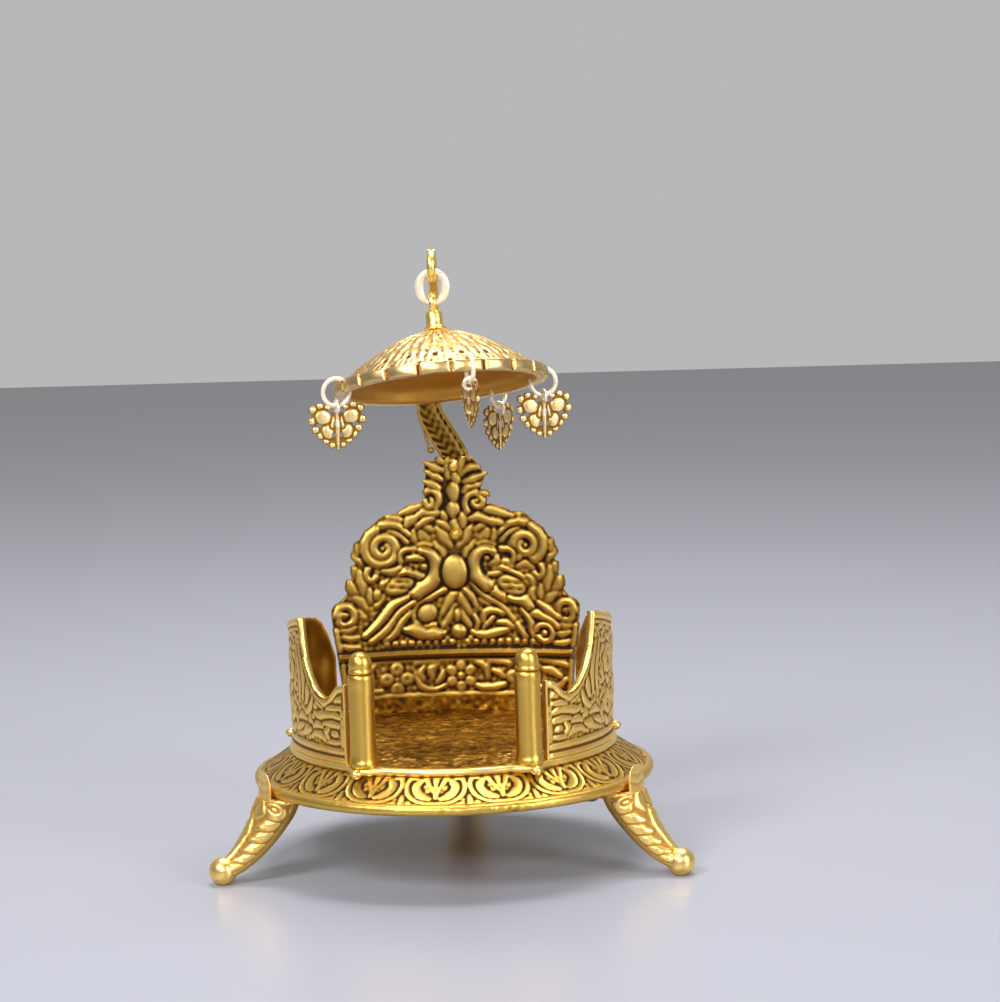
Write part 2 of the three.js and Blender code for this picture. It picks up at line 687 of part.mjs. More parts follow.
// The parasol's shell, about its own axis, with its rim's lower edge at zero.
function canopyShell() {
  const steps = 2 * fluteCount;
  const outside = canopyShares.map(([out, up]) => [out * canopyRadius, up * canopyHeight, 0]);
  const bandInner = canopyRadius - canopyBandDepth;
  const inside = [...canopyShares]
    .reverse()
    .map(([out, up]) => [out * canopyRadius - canopyWall / 2, up * canopyHeight - canopyWall, 0])
    .filter(([r]) => r > nutAcross && r < bandInner - canopyWall);
  const hub = stemTailRadius + gap;
  const nutSeat = nutAcross / 2 / Math.cos(30 * degree) + gap;
  const profile = [
    [bandInner, 0, 0], [canopyRadius - canopyFlute, 0, 0],
    [canopyRadius, canopyBand / 4, 1], [canopyRadius, (canopyBand * 3) / 4, 1],
    [canopyRadius - canopyFlute, canopyBand, 0], ...outside, [hub, canopyHeight, 0],
    [hub, canopyHeight - canopyWall, 0], [nutSeat, canopyHeight - canopyWall, 0], ...inside,
    [bandInner, canopyWall, 0],
  ];
  const points = [];
  const faces = [];
  for (let s = 0; s < steps; s++) {
    for (const [r, z, fluted] of profile) {
      const radius = fluted && s % 2 ? r - 2 * canopyFlute : r;
      const around = (s / steps) * 2 * Math.PI;
      points.push(new THREE.Vector3(radius * Math.cos(around), radius * Math.sin(around), z));
    }
  }
  const count = profile.length;
  for (let s = 0; s < steps; s++) {
    for (let k = 0; k < count; k++) {
      const a = s * count + k;
      const b = s * count + ((k + 1) % count);
      const next = ((s + 1) % steps) * count;
      faces.push([a, b, next + ((k + 1) % count)], [a, next + ((k + 1) % count), next + k]);
    }
  }
  const hole = rod(dropHoleRadius, -overrun, canopyHeight / 2);
  const holePlaces = Object.values(dropBearings).map((bearing) => polar(bearing, dropHoleReach, 0));
  return cut(closedBody(points, faces), ...holePlaces.map((place) => movedTo(hole, place)));
}

// The stem, with its eye's middle at zero and its tail through the crown below it.
function canopyStem() {
  const crown = -stemLength;
  const tailEnd = crown - canopyWall - nutHeight - 2 * gap;
  const eye = rod(eyeRadius, -eyeWidth / 2, eyeWidth / 2, 2 * smallSteps).rotateY(90 * degree);
  const hole = rod(eyeHole, -eyeWidth, eyeWidth, 2 * smallSteps).rotateY(90 * degree);
  const collar = turned(
    [
      [0, crown + gap], [collarRadius, crown + gap], [collarRadius, crown + collarHeight / 2 + gap],
      [stemRadius, crown + collarHeight + gap], [0, crown + collarHeight + gap],
    ],
    smallSteps,
  );
  const shaft = rod(stemRadius, crown + collarHeight / 2 + gap, -eyeHole);
  const tail = rod(stemTailRadius, tailEnd, crown + collarHeight / 2 + gap);
  return cut(joined(shaft, eye, collar, tail), hole);
}

function stemNut() {
  const outer = rod(nutAcross / 2 / Math.cos(30 * degree), -nutHeight, 0, nutSides);
  return cut(outer, rod(stemTailRadius + gap, -nutHeight - overrun, overrun));
}

// A leaf drop in the XZ plane, with the middle of its eye at zero. The eye stands square to the leaf.
function leafDrop() {
  const shoulder = leafHeight * leafShoulderShare;
  const spot = ([across, down], side) => [side * across * (leafWidth / 2), shoulder - down * leafHeight];
  const notch = -leafEyeRadius;
  const shape = new THREE.Shape();
  shape.moveTo(0, notch);
  for (const row of leafShares) shape.lineTo(...spot(row, 1));
  shape.lineTo(0, shoulder - leafHeight);
  for (const row of [...leafShares].reverse()) shape.lineTo(...spot(row, -1));
  shape.closePath();
  const plan = new THREE.ExtrudeGeometry(shape, { depth: leafThickness, bevelEnabled: false })
    .translate(0, 0, -leafThickness / 2)
    .rotateX(90 * degree);
  const eye = wireRing(leafEyeRadius, leafEyeRadius, leafEyeWire, smallSteps, wireSides).rotateZ(90 * degree);
  const openings = pierceShares.flatMap(([across, down, wide, tall]) => {
    const hole = rod(1, -leafThickness, leafThickness, smallSteps / 2).rotateX(90 * degree);
    hole.scale((wide * leafWidth) / 2, 1, tall * leafHeight);
    const sides = across === 0 ? [1] : [-1, 1];
    return sides.map((side) => {
      const [x, z] = spot([across, down], side);
      return hole.clone().translate(x, 0, z);
    });
  });
  return cut(joined(plan, eye), ...openings);
}

// The scene graph
const throne = new THREE.Group();
const whole = new THREE.Group();
// The origin lies on the table, midway between the front of the rim and the back of the rear foot.
whole.position.y = -(legRadius + footBall - baseRadius) / 2;
throne.add(whole);

function addBase() {
  whole.add(named("base_plate", basePlate(), oxidised));
  whole.add(named("seat_plate", seatPlate(), seatGold));
  for (const [name, bearing] of Object.entries(legBearings)) {
    const stand = new THREE.Group();
    stand.rotation.z = (bearing - 90) * degree;
    stand.add(named("leg_" + name, leg(), polished));
    const fixing = named("leg_screw_" + name, screw(legScrewReach), screwSteel);
    fixing.position.set(legBossReach, 0, baseUnderside - gap - legPad - gap);
    stand.add(fixing);
    whole.add(stand);
  }
}

function addSides() {
  for (const [name, side] of [["left", -1], ["right", 1]]) {
    whole.add(named("wing_" + name, wing(side), oxidised));
    const foot = polar(side * postBearing, postReach, plateTop);
    const standing = new THREE.Group();
    standing.position.copy(foot);
    standing.add(named("post_" + name, post(), polished));
    const cap = named("post_cap_" + name, postCap(), polished);
    cap.position.z = postHeight + gap / 3;
    standing.add(cap);
    const fixing = named("post_screw_" + name, screw(postScrewReach), screwSteel);
    fixing.position.z = deckUnderside - gap - plateTop;
    standing.add(fixing);
    whole.add(standing);
  }
}

function addBack() {
  whole.add(named("back_panel", backPanel(), oxidised));
  whole.add(named("canopy_arm", crook(), polished));
  rivetHeights().forEach((height, k) => {
    const fixing = named("arm_rivet_" + ["lower", "upper"][k], rivet(), polished);
    fixing.position.set(crookFootX(), 0, height);
    whole.add(fixing);
  });
}

// The ring hangs on the bottom of the crook's eye.
function ringPlace() {
  const place = crookEyeMiddle();
  place.z += -crookEyeRadius + crookTipThickness / 2 + ringWire + gap - ringHalfHeight;
  return place;
}

function addParasol() {
  const ringMiddle = ringPlace();
  const wire = wireRing(ringHalfWidth, ringHalfHeight, ringWire, ringSteps, wireSides);
  const ring = named("hanging_ring", wire, brightGold);
  ring.position.copy(ringMiddle);
  whole.add(ring);
  const parasol = new THREE.Group();
  const eyeClearance = (eyeHole - ringWire) / 2;
  parasol.position.copy(ringMiddle).add(new THREE.Vector3(0, 0, -ringHalfHeight - eyeClearance));
  parasol.rotation.set(-parasolTilt * degree, -parasolLean * degree, 0);
  const shell = named("canopy_shell", canopyShell(), oxidised);
  shell.position.z = -stemLength - canopyHeight;
  parasol.add(shell);
  parasol.add(named("canopy_stem", canopyStem(), polished));
  const nut = named("stem_nut", stemNut(), screwSteel);
  nut.position.z = -stemLength - canopyWall - gap;
  parasol.add(nut);
  whole.add(parasol);
  parasol.updateMatrix();
  return parasol.matrix;
}

// Each drop hangs straight down from its hole: a ring round the rim, and a leaf on the ring.
function addDrops(parasolMatrix) {
  const holeMiddle = -stemLength - canopyHeight + (canopyBand + canopyWall) / 2;
  for (const [name, bearing] of Object.entries(dropBearings)) {
    const hole = polar(bearing, dropHoleReach, holeMiddle).applyMatrix4(parasolMatrix);
    const outward = polar(bearing, 1, 0).transformDirection(parasolMatrix);
    const down = new THREE.Vector3(0, 0, -1).transformDirection(parasolMatrix);
    const drop = new THREE.Group();
    drop.position
      .copy(hole)
      .addScaledVector(outward, rimRingRadius * Math.cos(rimRingDroop * degree))
      .addScaledVector(down, rimRingRadius * Math.sin(rimRingDroop * degree));
    drop.rotation.z = Math.atan2(outward.y, outward.x);
    const wire = wireRing(rimRingRadius, rimRingRadius, rimRingWire, rimRingSteps, wireSides);
    drop.add(named("rim_ring_" + name, wire, brightGold));
    const leaf = named("leaf_drop_" + name, leafDrop(), brightGold);
    leaf.position.z = -rimRingRadius + rimRingWire + leafEyeWire + gap / 2 - leafEyeRadius;
    drop.add(leaf);
    whole.add(drop);
  }
}

addBase();
addSides();
addBack();
addDrops(addParasol());

export default throne;
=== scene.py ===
import json
import math

import bmesh
import bpy
import numpy as np
from mathutils import Matrix, Vector


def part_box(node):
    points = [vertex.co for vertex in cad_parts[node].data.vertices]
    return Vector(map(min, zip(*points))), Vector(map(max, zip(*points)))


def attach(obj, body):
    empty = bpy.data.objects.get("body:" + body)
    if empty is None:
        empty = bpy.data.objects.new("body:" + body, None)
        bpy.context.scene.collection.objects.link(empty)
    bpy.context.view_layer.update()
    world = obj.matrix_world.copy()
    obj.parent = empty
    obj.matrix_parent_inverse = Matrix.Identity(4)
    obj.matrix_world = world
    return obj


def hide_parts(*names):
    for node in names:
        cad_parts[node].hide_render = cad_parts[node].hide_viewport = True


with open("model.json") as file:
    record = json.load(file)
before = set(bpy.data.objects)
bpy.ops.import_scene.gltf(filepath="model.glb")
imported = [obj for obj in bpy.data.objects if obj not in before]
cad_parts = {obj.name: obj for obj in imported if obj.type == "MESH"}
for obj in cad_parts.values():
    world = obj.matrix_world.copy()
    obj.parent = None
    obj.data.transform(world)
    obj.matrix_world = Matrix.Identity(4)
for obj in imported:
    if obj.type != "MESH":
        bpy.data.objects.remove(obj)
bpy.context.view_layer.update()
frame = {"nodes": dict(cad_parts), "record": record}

MM = 0.001
random = np.random.default_rng(7)


def box(node):
    """A node's lowest and highest corner, in millimetres."""
    low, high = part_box(node)
    return np.array(low) / MM, np.array(high) / MM


base_low, base_high = box("base_plate")
seat_low, seat_high = box("seat_plate")
back_high = box("back_panel")[1]
AXIS_Y = (base_low[1] + base_high[1]) / 2
BASE_RADIUS = (base_high[0] - base_low[0]) / 2
BASE_UNDER = base_low[2]
DECK_TOP = base_high[2]
SEAT_RADIUS = (seat_high[0] - seat_low[0]) / 2
PLATE_TOP = seat_high[2]
BACK_Y = back_high[1] - AXIS_Y
BACK_TOP = back_high[2]

# Curves and fields


def circle(steps):
    """Angles all the way round, in radians."""
    return np.linspace(0, 2 * np.pi, steps, endpoint=False)


def joined(*parts):
    """Points from their coordinates, each stretched to the shape that they share."""
    return np.stack(np.broadcast_arrays(*parts), -1)


def unit_length(ways):
    """The same directions, each of length one."""
    return ways / np.linalg.norm(ways, axis=-1, keepdims=True)


def run_along(path):
    """The length along a path at each of its points."""
    return np.concatenate([[0], np.cumsum(np.linalg.norm(np.diff(path, axis=0), axis=1))])


def power(values, share):
    """A power that keeps the sign. Below one it squares off a circle."""
    return np.sign(values) * np.abs(values) ** share


def wave(turns):
    """A wave between 0 and 1, highest at whole turns."""
    return 0.5 + 0.5 * np.cos(2 * np.pi * turns)


def smooth_path(points, per_span=8):
    """Points along a centripetal Catmull-Rom curve through the given ones."""
    points = np.asarray(points, float)
    ends = np.vstack([2 * points[0] - points[1], points, 2 * points[-1] - points[-2]])
    out = []
    for k in range(1, len(ends) - 2):
        four = ends[k - 1:k + 3]
        gaps = np.maximum(np.linalg.norm(np.diff(four, axis=0), axis=1) ** 0.5, 1e-9)
        t = np.concatenate([[0], np.cumsum(gaps)])
        last = k == len(ends) - 3
        at = np.linspace(t[1], t[2], per_span + 1)[: None if last else -1, None]
        a = [((t[i + 1] - at) * four[i] + (at - t[i]) * four[i + 1]) / gaps[i] for i in range(3)]
        b = [((t[i + 2] - at) * a[i] + (at - t[i]) * a[i + 1]) / (t[i + 2] - t[i]) for i in range(2)]
        out.append(((t[2] - at) * b[0] + (at - t[1]) * b[1]) / gaps[1])
    return np.vstack(out)


def blur(field, cells, wrap=False):
    """A smooth blur over about that many cells, from three box blurs each way."""
    k = max(1, int(round(cells)))
    for axis in (0, 1):
        mode = "wrap" if wrap and axis == 0 else "edge"
        for _ in range(3):
            pad = [(k + 1, k) if a == axis else (0, 0) for a in (0, 1)]
            total = np.cumsum(np.pad(field, pad, mode=mode), axis=axis)
            n = field.shape[axis]
            high = np.take(total, np.arange(2 * k + 1, 2 * k + 1 + n), axis=axis)
            low = np.take(total, np.arange(n), axis=axis)
            field = (high - low) / (2 * k + 1)
    return field


def grain(shape, cells, wrap=False):
    """Seeded noise, blurred over some cells, with a spread of about one."""
    field = blur(random.standard_normal(shape), cells, wrap)
    return (field - field.mean()) / max(field.std(), 1e-9)


class Relief:
    """A height field on a flat grid, with a cover field that is positive where there is metal."""

    FINE_REACH, BROAD_REACH = 0.36, 1.3  # how far the patina looks round each place
    PATINA, DEPTH_SHARE, HOLLOW_SHARE, CREASE_SHARE = 0.4, 0.3, 0.2, 0.62

    def __init__(self, u_range, v_range, step, groove=0.42, wide=1.0, full=0.42, ground=0.0):
        """The last four: the dark outline of a motif, how much wider bars are, how flat, and the ground."""
        self.step, self.groove, self.wide, self.full, self.ground = step, groove, wide, full, ground
        self.solid = True  # whether motifs add metal where there was none
        self.u = np.arange(u_range[0], u_range[1] + step / 2, step)
        self.v = np.arange(v_range[0], v_range[1] + step / 2, step)
        self.U, self.V = np.meshgrid(self.u, self.v, indexing="ij")
        self.H = np.full(self.U.shape, float(ground))
        self.cover = np.full(self.U.shape, -1e3)

    def near(self, path, reach):
        low, high = path.min(0) - reach, path.max(0) + reach
        i = np.searchsorted(self.u, (low[0], high[0]))
        j = np.searchsorted(self.v, (low[1], high[1]))
        return slice(i[0], i[1] + 1), slice(j[0], j[1] + 1)

    def along(self, path, half, window):
        """For each place in a window: share of the half width, signed side, length along and half width."""
        U, V = self.U[window], self.V[window]
        best = np.full(U.shape, np.inf)
        side, run, wide = np.zeros(U.shape), np.zeros(U.shape), np.ones(U.shape)
        start = 0.0
        for k in range(len(path) - 1):
            way = path[k + 1] - path[k]
            length = max(np.hypot(*way), 1e-9)
            du, dv = U - path[k][0], V - path[k][1]
            t = np.clip((du * way[0] + dv * way[1]) / length**2, 0, 1)
            d = np.hypot(du - t * way[0], dv - t * way[1])
            w = half[k] + t * (half[k + 1] - half[k])
            closer = d / w < best
            best[closer] = (d / w)[closer]
            side[closer] = (np.sign(way[0] * dv - way[1] * du) * d)[closer]
            run[closer] = start + (t * length)[closer]
            wide[closer] = w[closer]
            start += length
        return best, side, run, wide

    def stamp(self, window, q, size, rise, groove, solid=True):
        """Lays a motif on the field inside its dark outline. q is the share of the way to its edge."""
        H, cover = self.H[window], self.cover[window]
        inside = q < 1
        ring = ~inside & ((q - 1) * size < groove)
        H[ring] = np.minimum(H[ring], self.ground)
        H[inside] = rise[inside]
        if solid and self.solid:
            np.maximum(cover, (1 - q) * size, out=cover)

    def stroke(self, points, half, height, ridges=0, veins=0.0, vein=0.14, solid=True, groove=None,
               curve=True):
        """A rounded bar along a path. Its half width may be a list from its start to its end."""
        path = smooth_path(points) if curve and len(points) > 2 else np.asarray(points, float)
        half = np.atleast_1d(half)
        half = self.wide * np.interp(np.linspace(0, 1, len(path)), np.linspace(0, 1, len(half)), half)
        groove = self.groove if groove is None else groove
        window = self.near(path, half.max() + groove + self.step)
        if self.U[window].size == 0:
            return
        q, side, run, wide = self.along(path, half, window)
        rise = height * np.power(np.clip(1 - q**2, 0, 1), self.full)
        if ridges:
            rise -= vein * wave(side / wide * (ridges / 2))
        if veins:
            rise -= vein * wave((run + np.abs(side) * 0.9) / veins)
            rise -= 1.4 * vein * np.exp(-(side / 0.22) ** 2)
        self.stamp(window, q, wide, np.maximum(rise, self.ground), groove, solid)

    def dome(self, place, radii, height, turn=0.0, base=0.0, full=0.55, groove=None):
        """An oval boss."""
        groove = self.groove if groove is None else groove
        window = self.near(np.array([place], float), max(radii) + groove + self.step)
        if self.U[window].size == 0:
            return
        c, s = math.cos(math.radians(turn)), math.sin(math.radians(turn))
        du, dv = self.U[window] - place[0], self.V[window] - place[1]
        q = np.hypot((du * c + dv * s) / radii[0], (dv * c - du * s) / radii[1])
        rise = base + height * np.power(np.clip(1 - q**2, 0, 1), full)
        self.stamp(window, q, min(radii), rise, groove)

    def pit(self, place, radius, depth):
        """A small round hollow."""
        window = self.near(np.array([place], float), radius)
        d = np.hypot(self.U[window] - place[0], self.V[window] - place[1]) / radius
        self.H[window] -= depth * np.clip(1 - d**2, 0, 1)

    def spiral(self, centre, outer, inner, start, turns, half, height):
        """A volute that winds in from a bearing, in degrees; negative turns wind clockwise."""
        count = int(abs(turns) * 14) + 2
        angle = math.radians(start) + np.linspace(0, turns * 2 * math.pi, count)
        radius = np.linspace(outer, inner, count)
        points = np.stack([centre[0] + radius * np.cos(angle), centre[1] + radius * np.sin(angle)], 1)
        self.stroke(points, half, height, curve=False)

    def flower(self, place, petals, reach, petal, height, eye):
        """A rosette of oval petals round a bead, the first petal at its top."""
        for turn in 90 + 360 * np.arange(petals) / petals:
            a = math.radians(turn)
            spot = (place[0] + reach * math.cos(a), place[1] + reach * math.sin(a))
            self.dome(spot, petal, height, turn, full=0.35, groove=0.2)
            self.pit(spot, min(petal) * 0.62, 0.55)
        self.dome(place, (eye, eye), height)

    def fill(self, outline):
        """Metal inside a closed outline."""
        outline = np.asarray(outline, float)
        inside = np.zeros(self.U.shape, bool)
        distance = np.full(self.U.shape, np.inf)
        for a, b in zip(outline, np.roll(outline, -1, 0)):
            way = b - a
            du, dv = self.U - a[0], self.V - a[1]
            t = np.clip((du * way[0] + dv * way[1]) / max(way @ way, 1e-9), 0, 1)
            distance = np.minimum(distance, np.hypot(du - t * way[0], dv - t * way[1]))
            if abs(way[1]) > 1e-12:
                inside ^= ((a[1] > self.V) != (b[1] > self.V)) & (self.U < a[0] + way[0] * dv / way[1])
        np.maximum(self.cover, np.where(inside, distance, -distance), out=self.cover)

    def infill(self, size, height, gap):
        """Small cast lobes over the bare ground between the motifs."""
        bare = np.abs(self.H - self.ground) < 1e-6
        room, inner = np.zeros(self.H.shape), bare.copy()
        for _ in range(int(1.2 / self.step) + 1):
            room += inner * self.step
            wide = np.pad(inner, 1, mode="edge")
            inner = inner & wide[:-2, 1:-1] & wide[2:, 1:-1] & wide[1:-1, :-2] & wide[1:-1, 2:]
        p, q = (self.U - self.u[0]) / size, (self.V - self.v[0]) / size
        seeds = 0.5 + 0.7 * (random.random((int(p.max()) + 4, int(q.max()) + 4, 2)) - 0.5)
        first, second = np.full(p.shape, 9.0), np.full(p.shape, 9.0)
        for a in (-1, 0, 1):
            for b in (-1, 0, 1):
                i, j = np.floor(p).astype(int) + a, np.floor(q).astype(int) + b
                spot = seeds[i + 1, j + 1]
                away = np.hypot(i + spot[..., 0] - p, j + spot[..., 1] - q)
                second = np.minimum(second, np.maximum(first, away))
                first = np.minimum(first, away)
        edge = np.minimum((second - first) * size / 2, room - gap)
        lobe = np.sqrt(np.clip(edge / (0.3 * size), 0, 1))
        self.H = np.where(bare & (edge > 0), self.ground + height * lobe, self.H)

    def settle(self, rough, wrap=False):
        """Softens the field as a casting is soft, and gives the patina: 0 on the highs, 1 in the recesses."""
        self.H = blur(self.H, 1, wrap)
        broad = blur(self.H, self.BROAD_REACH / self.step, wrap)
        fine = blur(self.H, self.FINE_REACH / self.step, wrap)
        top = max(np.percentile(self.H, 97) - self.ground, 0.3)
        depth = 0.5 - np.clip((self.H - self.ground) / top, 0, 1)
        hollow = np.clip((broad - self.H) / (0.35 * top), -1, 1)
        crease = np.clip((fine - self.H) / (0.1 * top), -0.4, 1)
        patina = self.PATINA + self.DEPTH_SHARE * depth + self.HOLLOW_SHARE * hollow
        self.patina = np.clip(patina + self.CREASE_SHARE * crease, 0, 1)
        self.H = self.H + rough * grain(self.H.shape, 2, wrap)


def tiled(one, count, height, rough, shift=0):
    """A relief that repeats one field all round, settled as a whole."""
    whole = Relief((0, 1), (0, 1), 1)
    whole.H = np.roll(np.tile(one.H, (count, 1)), shift, 0) * height
    whole.step = one.step
    whole.settle(rough, wrap=True)
    return whole


def sampled(field, values, u, v):
    """The values of a field at places between its grid points."""
    i = np.clip((u - field.u[0]) / field.step, 0, len(field.u) - 1.001)
    j = np.clip((v - field.v[0]) / field.step, 0, len(field.v) - 1.001)
    a, b = i.astype(int), j.astype(int)
    low, high = (values[k, b] * (1 - j + b) + values[k, b + 1] * (j - b) for k in (a, a + 1))
    return low * (1 - i + a) + high * (i - a)


# Meshes

WELD = 0.002  # points closer than this are one


class Shape:
    """Points in millimetres, faces and the patina of one piece, gathered shell by shell."""

    def __init__(self):
        self.points, self.quads, self.tris, self.patina = [], [], [], []
        self.count = 0

    def add(self, points, quads=(), tris=(), patina=0.35):
        points = np.asarray(points, float).reshape(-1, 3)
        self.points.append(points)
        self.quads.append(np.asarray(quads, np.int64).reshape(-1, 4) + self.count)
        self.tris.append(np.asarray(tris, np.int64).reshape(-1, 3) + self.count)
        self.patina.append(np.broadcast_to(np.asarray(patina, float).ravel(), (len(points),)))
        self.count += len(points)
        return self

    def grid(self, points, wrap_u=False, wrap_v=False, patina=0.35):
        """A surface through a grid of points."""
        n, m = points.shape[:2]
        rows, columns = n if wrap_u else n - 1, m if wrap_v else m - 1
        I, J = np.meshgrid(np.arange(rows), np.arange(columns), indexing="ij")
        I2, J2 = (I + 1) % n, (J + 1) % m
        quads = np.stack([I * m + J, I2 * m + J, I2 * m + J2, I * m + J2], -1)
        return self.add(points, quads, patina=np.broadcast_to(patina, (n, m)))

    def tube(self, rings, patina=0.35):
        """A closed bar through rings of points, with a fan at each end."""
        n, m = rings.shape[:2]
        self.grid(rings, wrap_v=True, patina=patina)
        tones = np.broadcast_to(patina, (n, m))
        for end in (0, -1):
            tris = [(m, k, (k + 1) % m) for k in range(m)]
            points = np.vstack([rings[end], rings[end].mean(0)])
            self.add(points, tris=tris, patina=float(np.mean(tones[end])))
        return self

    def sheet(self, relief, front, back, back_patina=0.6):
        """A plate between front(U, V, H) and back(U, V), cut along the edge of the relief's cover."""
        cover = relief.cover
        keep_point = cover > 0
        keep = (keep_point[:-1, :-1] | keep_point[1:, :-1] | keep_point[1:, 1:] | keep_point[:-1, 1:])
        U, V = relief.U.copy(), relief.V.copy()
        outside = ~keep_point
        gu, gv = np.gradient(cover, relief.step)
        steep = np.maximum(np.hypot(gu, gv), 0.3)
        reach = np.clip(-cover / steep, 0, 1.4 * relief.step)
        U[outside] += (gu / steep * reach)[outside]
        V[outside] += (gv / steep * reach)[outside]
        used = np.zeros(cover.shape, bool)
        for a in (slice(0, -1), slice(1, None)):
            for b in (slice(0, -1), slice(1, None)):
                used[a, b] |= keep
        number = np.full(cover.shape, -1)
        number[used] = np.arange(used.sum())
        count = int(used.sum())
        I, J = np.nonzero(keep)
        faces = np.stack([number[I, J], number[I + 1, J], number[I + 1, J + 1], number[I, J + 1]], -1)
        padded = np.pad(keep, 1)
        walls = []
        for di, dj, first, second in (
            (0, -1, (0, 0), (1, 0)), (1, 0, (1, 0), (1, 1)), (0, 1, (1, 1), (0, 1)), (-1, 0, (0, 1), (0, 0)),
        ):
            edge = ~padded[I + 1 + di, J + 1 + dj]
            a = number[I[edge] + first[0], J[edge] + first[1]]
            b = number[I[edge] + second[0], J[edge] + second[1]]
            walls.append(np.stack([b, a, a + count, b + count], -1))
        points = np.concatenate([front(U, V, relief.H)[used], back(U, V)[used]])
        quads = np.concatenate([faces, faces[:, ::-1] + count, *walls])
        behind = np.broadcast_to(back_patina, cover.shape)[used]
        return self.add(points, quads, patina=np.concatenate([relief.patina[used], behind]))

    def piece(self, name, material, body, nodes=(), slot="gilt_antique"):
        """The finished mesh object, riding on its body."""
        points = np.vstack(self.points)
        quads, tris = np.vstack(self.quads), np.vstack(self.tris)
        mesh = bpy.data.meshes.new(name)
        mesh.vertices.add(len(points))
        mesh.vertices.foreach_set("co", (points * MM).astype(np.float32).ravel())
        corners = np.concatenate([quads.ravel(), tris.ravel()]).astype(np.int32)
        mesh.loops.add(len(corners))
        mesh.loops.foreach_set("vertex_index", corners)
        starts = np.concatenate([np.arange(len(quads)) * 4, len(quads) * 4 + np.arange(len(tris)) * 3])
        mesh.polygons.add(len(starts))
        mesh.polygons.foreach_set("loop_start", starts.astype(np.int32))
        mesh.update(calc_edges=True)
        tone = mesh.attributes.new("patina", "FLOAT", "POINT")
        tone.data.foreach_set("value", np.concatenate(self.patina).astype(np.float32))
        tidy = bmesh.new()
        tidy.from_mesh(mesh)
        bmesh.ops.remove_doubles(tidy, verts=tidy.verts, dist=WELD * MM)
        bmesh.ops.dissolve_degenerate(tidy, dist=WELD * MM, edges=tidy.edges)
        bmesh.ops.recalc_face_normals(tidy, faces=tidy.faces)
        for face in tidy.faces:
            face.smooth = True
        tidy.to_mesh(mesh)
        tidy.free()
        thing = bpy.data.objects.new(name, mesh)
        bpy.context.scene.collection.objects.link(thing)
        mesh.materials.append(material)
        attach(thing, body)
        if nodes:
            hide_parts(*nodes)
        return thing


def polar(bearing, radius, height):
    """Places at a bearing from the front, in degrees, a distance from the throne's axis and a height."""
    a = np.radians(bearing)
    return joined(radius * np.sin(a), AXIS_Y - radius * np.cos(a), height)


def turned(profile, steps, centre=(0, 0, 0)):
    """A grid of places turned about an upright line through a centre, from a list of radius and height."""
    radius, height = np.asarray(profile, float).T[:, None]
    a = circle(steps)[:, None]
    return joined(radius * np.cos(a), radius * np.sin(a), height) + centre


def ball(centre, radii, steps, rows, lowest=-90):
    """A ball, or its part above a lowest latitude in degrees."""
    turn, lift = circle(steps)[:, None], np.radians(np.linspace(lowest, 90, rows))
    x, y, z = radii
    return joined(x * np.cos(turn) * np.cos(lift), y * np.sin(turn) * np.cos(lift), z * np.sin(lift)) + centre


def wire_loop(half_width, half_height, wire, steps=72, sides=16, depth=None, swell=0.0, side_on=False):
    """A closed oval of wire in the XZ plane, or side on in the YZ plane. A swell thickens it inwards."""
    around, turn = circle(steps)[:, None], circle(sides)
    out = unit_length(np.stack([half_height * np.cos(around), half_width * np.sin(around)], -1))
    extra = swell * np.cos(around) ** 2
    reach = (wire + extra) * np.cos(turn) - extra
    x = half_width * np.cos(around) + reach * out[..., 0]
    z = half_height * np.sin(around) + reach * out[..., 1]
    y = (depth or wire) * np.sin(turn)
    return joined(y, x, z) if side_on else joined(x, y, z)


def all_round(profile, steps, tone):
    """A band's radii, heights and patina for every bearing, from a list of radius and height."""
    radius, height = np.broadcast_to(np.array(profile, float).T[:, None], (2, steps, len(profile)))
    return radius, height, np.full(radius.shape, tone)


def banded(bands):
    """The radii, heights and patina of bands that follow each other over a round piece."""
    return [np.concatenate(parts, 1) for parts in zip(*bands)]


def repaint(thing, material, chosen):
    """Gives another material to the faces whose middles, in millimetres, and normals are chosen."""
    mesh = thing.data
    mesh.materials.append(material)
    middles, normals = np.empty(len(mesh.polygons) * 3), np.empty(len(mesh.polygons) * 3)
    mesh.polygons.foreach_get("center", middles)
    mesh.polygons.foreach_get("normal", normals)
    index = chosen(middles.reshape(-1, 3) / MM, normals.reshape(-1, 3)).astype(np.int32)
    mesh.polygons.foreach_set("material_index", index)


# Materials

PATINA_PLACES = (0.12, 0.42, 0.66, 0.88)  # where the four tones of a gilt lie
CLOUD_SCALE, SPECK_SCALE = 230.0, 900.0  # of the noise, to the metre
WEAR = 0.16  # how far the cloud shifts a gilt's tone
SPECK_GLOSS, CLOUD_BUMP = 0.14, 0.8
BUMP_DISTANCE = 0.00012  # metres


def node(tree, kind, **values):
    made = tree.nodes.new(kind)
    for name, value in values.items():
        if name in made.inputs:
            made.inputs[name].default_value = value
        else:
            setattr(made, name, value)
    return made


def ramp(tree, source, stops):
    """A colour ramp from a list of place and colour, or place and grey."""
    made = tree.nodes.new("ShaderNodeValToRGB")
    elements = made.color_ramp.elements
    while len(elements) < len(stops):
        elements.new(0.5)
    for element, (place, value) in zip(elements, stops):
        element.position = place
        element.color = (*value, 1) if np.ndim(value) else (value, value, value, 1)
    tree.links.new(source, made.inputs["Fac"])
    return made.outputs["Color"]


def new_material(name):
    """A material with its node tree and its shader."""
    material = bpy.data.materials.new(name)
    material.use_nodes = True
    return material, material.node_tree, material.node_tree.nodes["Principled BSDF"]


